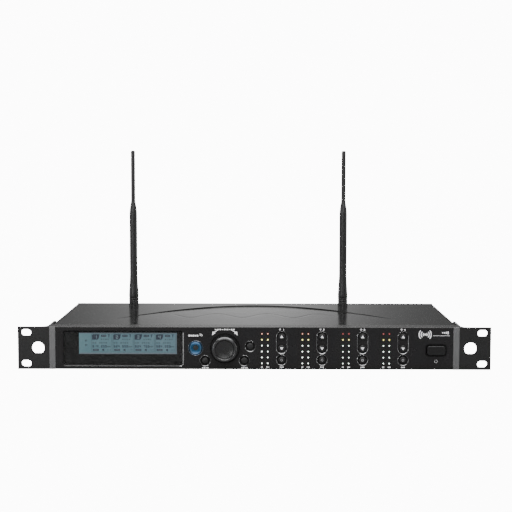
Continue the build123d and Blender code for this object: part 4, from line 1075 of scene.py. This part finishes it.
def make_world():
    """White to the camera; for light and reflections a studio with a bright patch low behind the unit."""
    world = bpy.data.worlds.new("studio")
    bpy.context.scene.world = world
    world.use_nodes = True
    tree = world.node_tree
    tree.nodes.clear()

    def maths(operation, first, second=None):
        made = tree.nodes.new("ShaderNodeMath")
        made.operation = operation
        for index, value in enumerate((first, second)):
            if isinstance(value, (int, float)):
                made.inputs[index].default_value = value
            elif value is not None:
                tree.links.new(value, made.inputs[index])
        return made.outputs[0]

    split = tree.nodes.new("ShaderNodeSeparateXYZ")
    tree.links.new(tree.nodes.new("ShaderNodeTexCoord").outputs["Generated"], split.inputs[0])
    x, y, z = split.outputs
    off_centre = maths("ADD", maths("ARCTAN2", x, y), -PATCH_CENTRE)
    to_right = maths("DIVIDE", maths("MAXIMUM", off_centre, 0.0), PATCH_RIGHT)
    to_left = maths("DIVIDE", maths("MINIMUM", off_centre, 0.0), PATCH_LEFT)
    across = maths("POWER", maths("SUBTRACT", to_right, to_left), 2)
    upward = maths("POWER", maths("DIVIDE", z, PATCH_UP), 2)
    falling = maths("EXPONENT", maths("MULTIPLY", maths("ADD", across, upward), -1))
    patch = maths("MULTIPLY", falling, PATCH_STRENGTH)
    overhead = maths("MULTIPLY", maths("POWER", maths("MAXIMUM", z, 0.0), 1.5), OVERHEAD_STRENGTH)
    studio = tree.nodes.new("ShaderNodeBackground")
    tree.links.new(maths("ADD", maths("ADD", patch, overhead), ROOM_STRENGTH), studio.inputs["Strength"])
    white = tree.nodes.new("ShaderNodeBackground")
    white.inputs["Color"].default_value = (1, 1, 1, 1)
    white.inputs["Strength"].default_value = WHITE_STRENGTH
    split_by_ray(tree, studio, white, tree.nodes.new("ShaderNodeOutputWorld"))


def add_area(name, location, target, size, power, size_y=None):
    data = bpy.data.lights.new(name, "AREA")
    data.shape = "RECTANGLE"
    data.size = size
    data.size_y = size_y or size
    data.energy = power
    light = in_scene(name, data)
    light.location = location
    direction = Vector(target) - Vector(location)
    light.rotation_euler = direction.to_track_quat("-Z", "Y").to_euler()
    light.visible_camera = False


def make_lights():
    add_area("overhead", (0.0, 0.1, 1.5), (0, 0, 0), 2.4, 60, 1.8)
    add_area("left_side", (-1.9, -0.1, 0.35), (0, -0.1, 0.02), 0.9, 7)
    add_area("right_side", (1.9, -0.1, 0.35), (0, -0.1, 0.02), 0.9, 5)
    add_area("front_left", (-1.25, -2.1, 0.22), (0, -0.1, 0.02), 0.8, 8, 0.4)
    add_area("front_fill", (0.1, -2.6, 1.2), (0, 0, 0.05), 1.6, 26, 0.8)
    add_area("back_fill", (0.0, 2.4, 1.6), (0, 0, 0.05), 1.6, 12, 0.8)


# ---- build ----
add_camera()
make_world()
make_lights()
make_floor()
M = make_materials()

NODES_IN = {
    "black": "tact_switches coax_leads xlr_shells xlr_inserts jack_sockets dc_inlet",
    "board": "front_board main_board", "ear": "chassis_tray rear_panel rack_ear_left rack_ear_right",
    "nickel": "bnc_sockets connector_nuts xlr_pins", "steel": "encoder_shaft encoder_plunger encoder_body",
    "tinplate": "shield_cans data_port", "fascia": "front_fascia", "trim": "trim_strips",
    "lens": "display_lens", "mask": "display_mask", "lcd": "lcd_module", "red": "led_lenses_red",
    "yellow": "led_lenses_yellow", "green": "led_lenses_green", "gloss": "power_button",
    "knob": "control_knob", "sync": "sync_cup", "emitter": "sync_emitter", "cover": "top_cover",
    "screw": "machine_screws", "brass": "board_standoffs", "grey_cable": "ribbon_cable",
    "insulator": "bnc_contacts",
}
NODE_MATERIALS = {node: key for key, nodes in NODES_IN.items() for node in nodes.split()}
PREFIX_MATERIALS = (("antenna_collar", "nickel"), ("antenna_pin", "steel"), ("antenna", "antenna"))


def material_key(node):
    """The material of a CAD node; what isn't listed is a round key."""
    if node in NODE_MATERIALS:
        return NODE_MATERIALS[node]
    return next((key for start, key in PREFIX_MATERIALS if node.startswith(start)), "key")


for node_name, node_object in NODES.items():
    material = M[material_key(node_name)]
    if node_object.data.materials:
        for material_slot in node_object.material_slots:
            material_slot.material = material
    else:
        node_object.data.materials.append(material)

make_cover_top(M["cover"])
make_cover_sides(M["cover"])
for side in ("left", "right"):
    softened(f"ear_{side}", f"rack_ear_{side}", M["ear"], width=0.35)
softened("fascia_moulding", "front_fascia", M["fascia"], width=0.15)
softened("trims", "trim_strips", M["trim"], width=0.2)
softened("power_key", "power_button", M["gloss"], "power_button_body", 0.25)
make_knob(M)
make_keys(M)
make_bezels(M)
make_prints(M)
make_lcd(M)
make_lamps(M)
make_antennas(M)
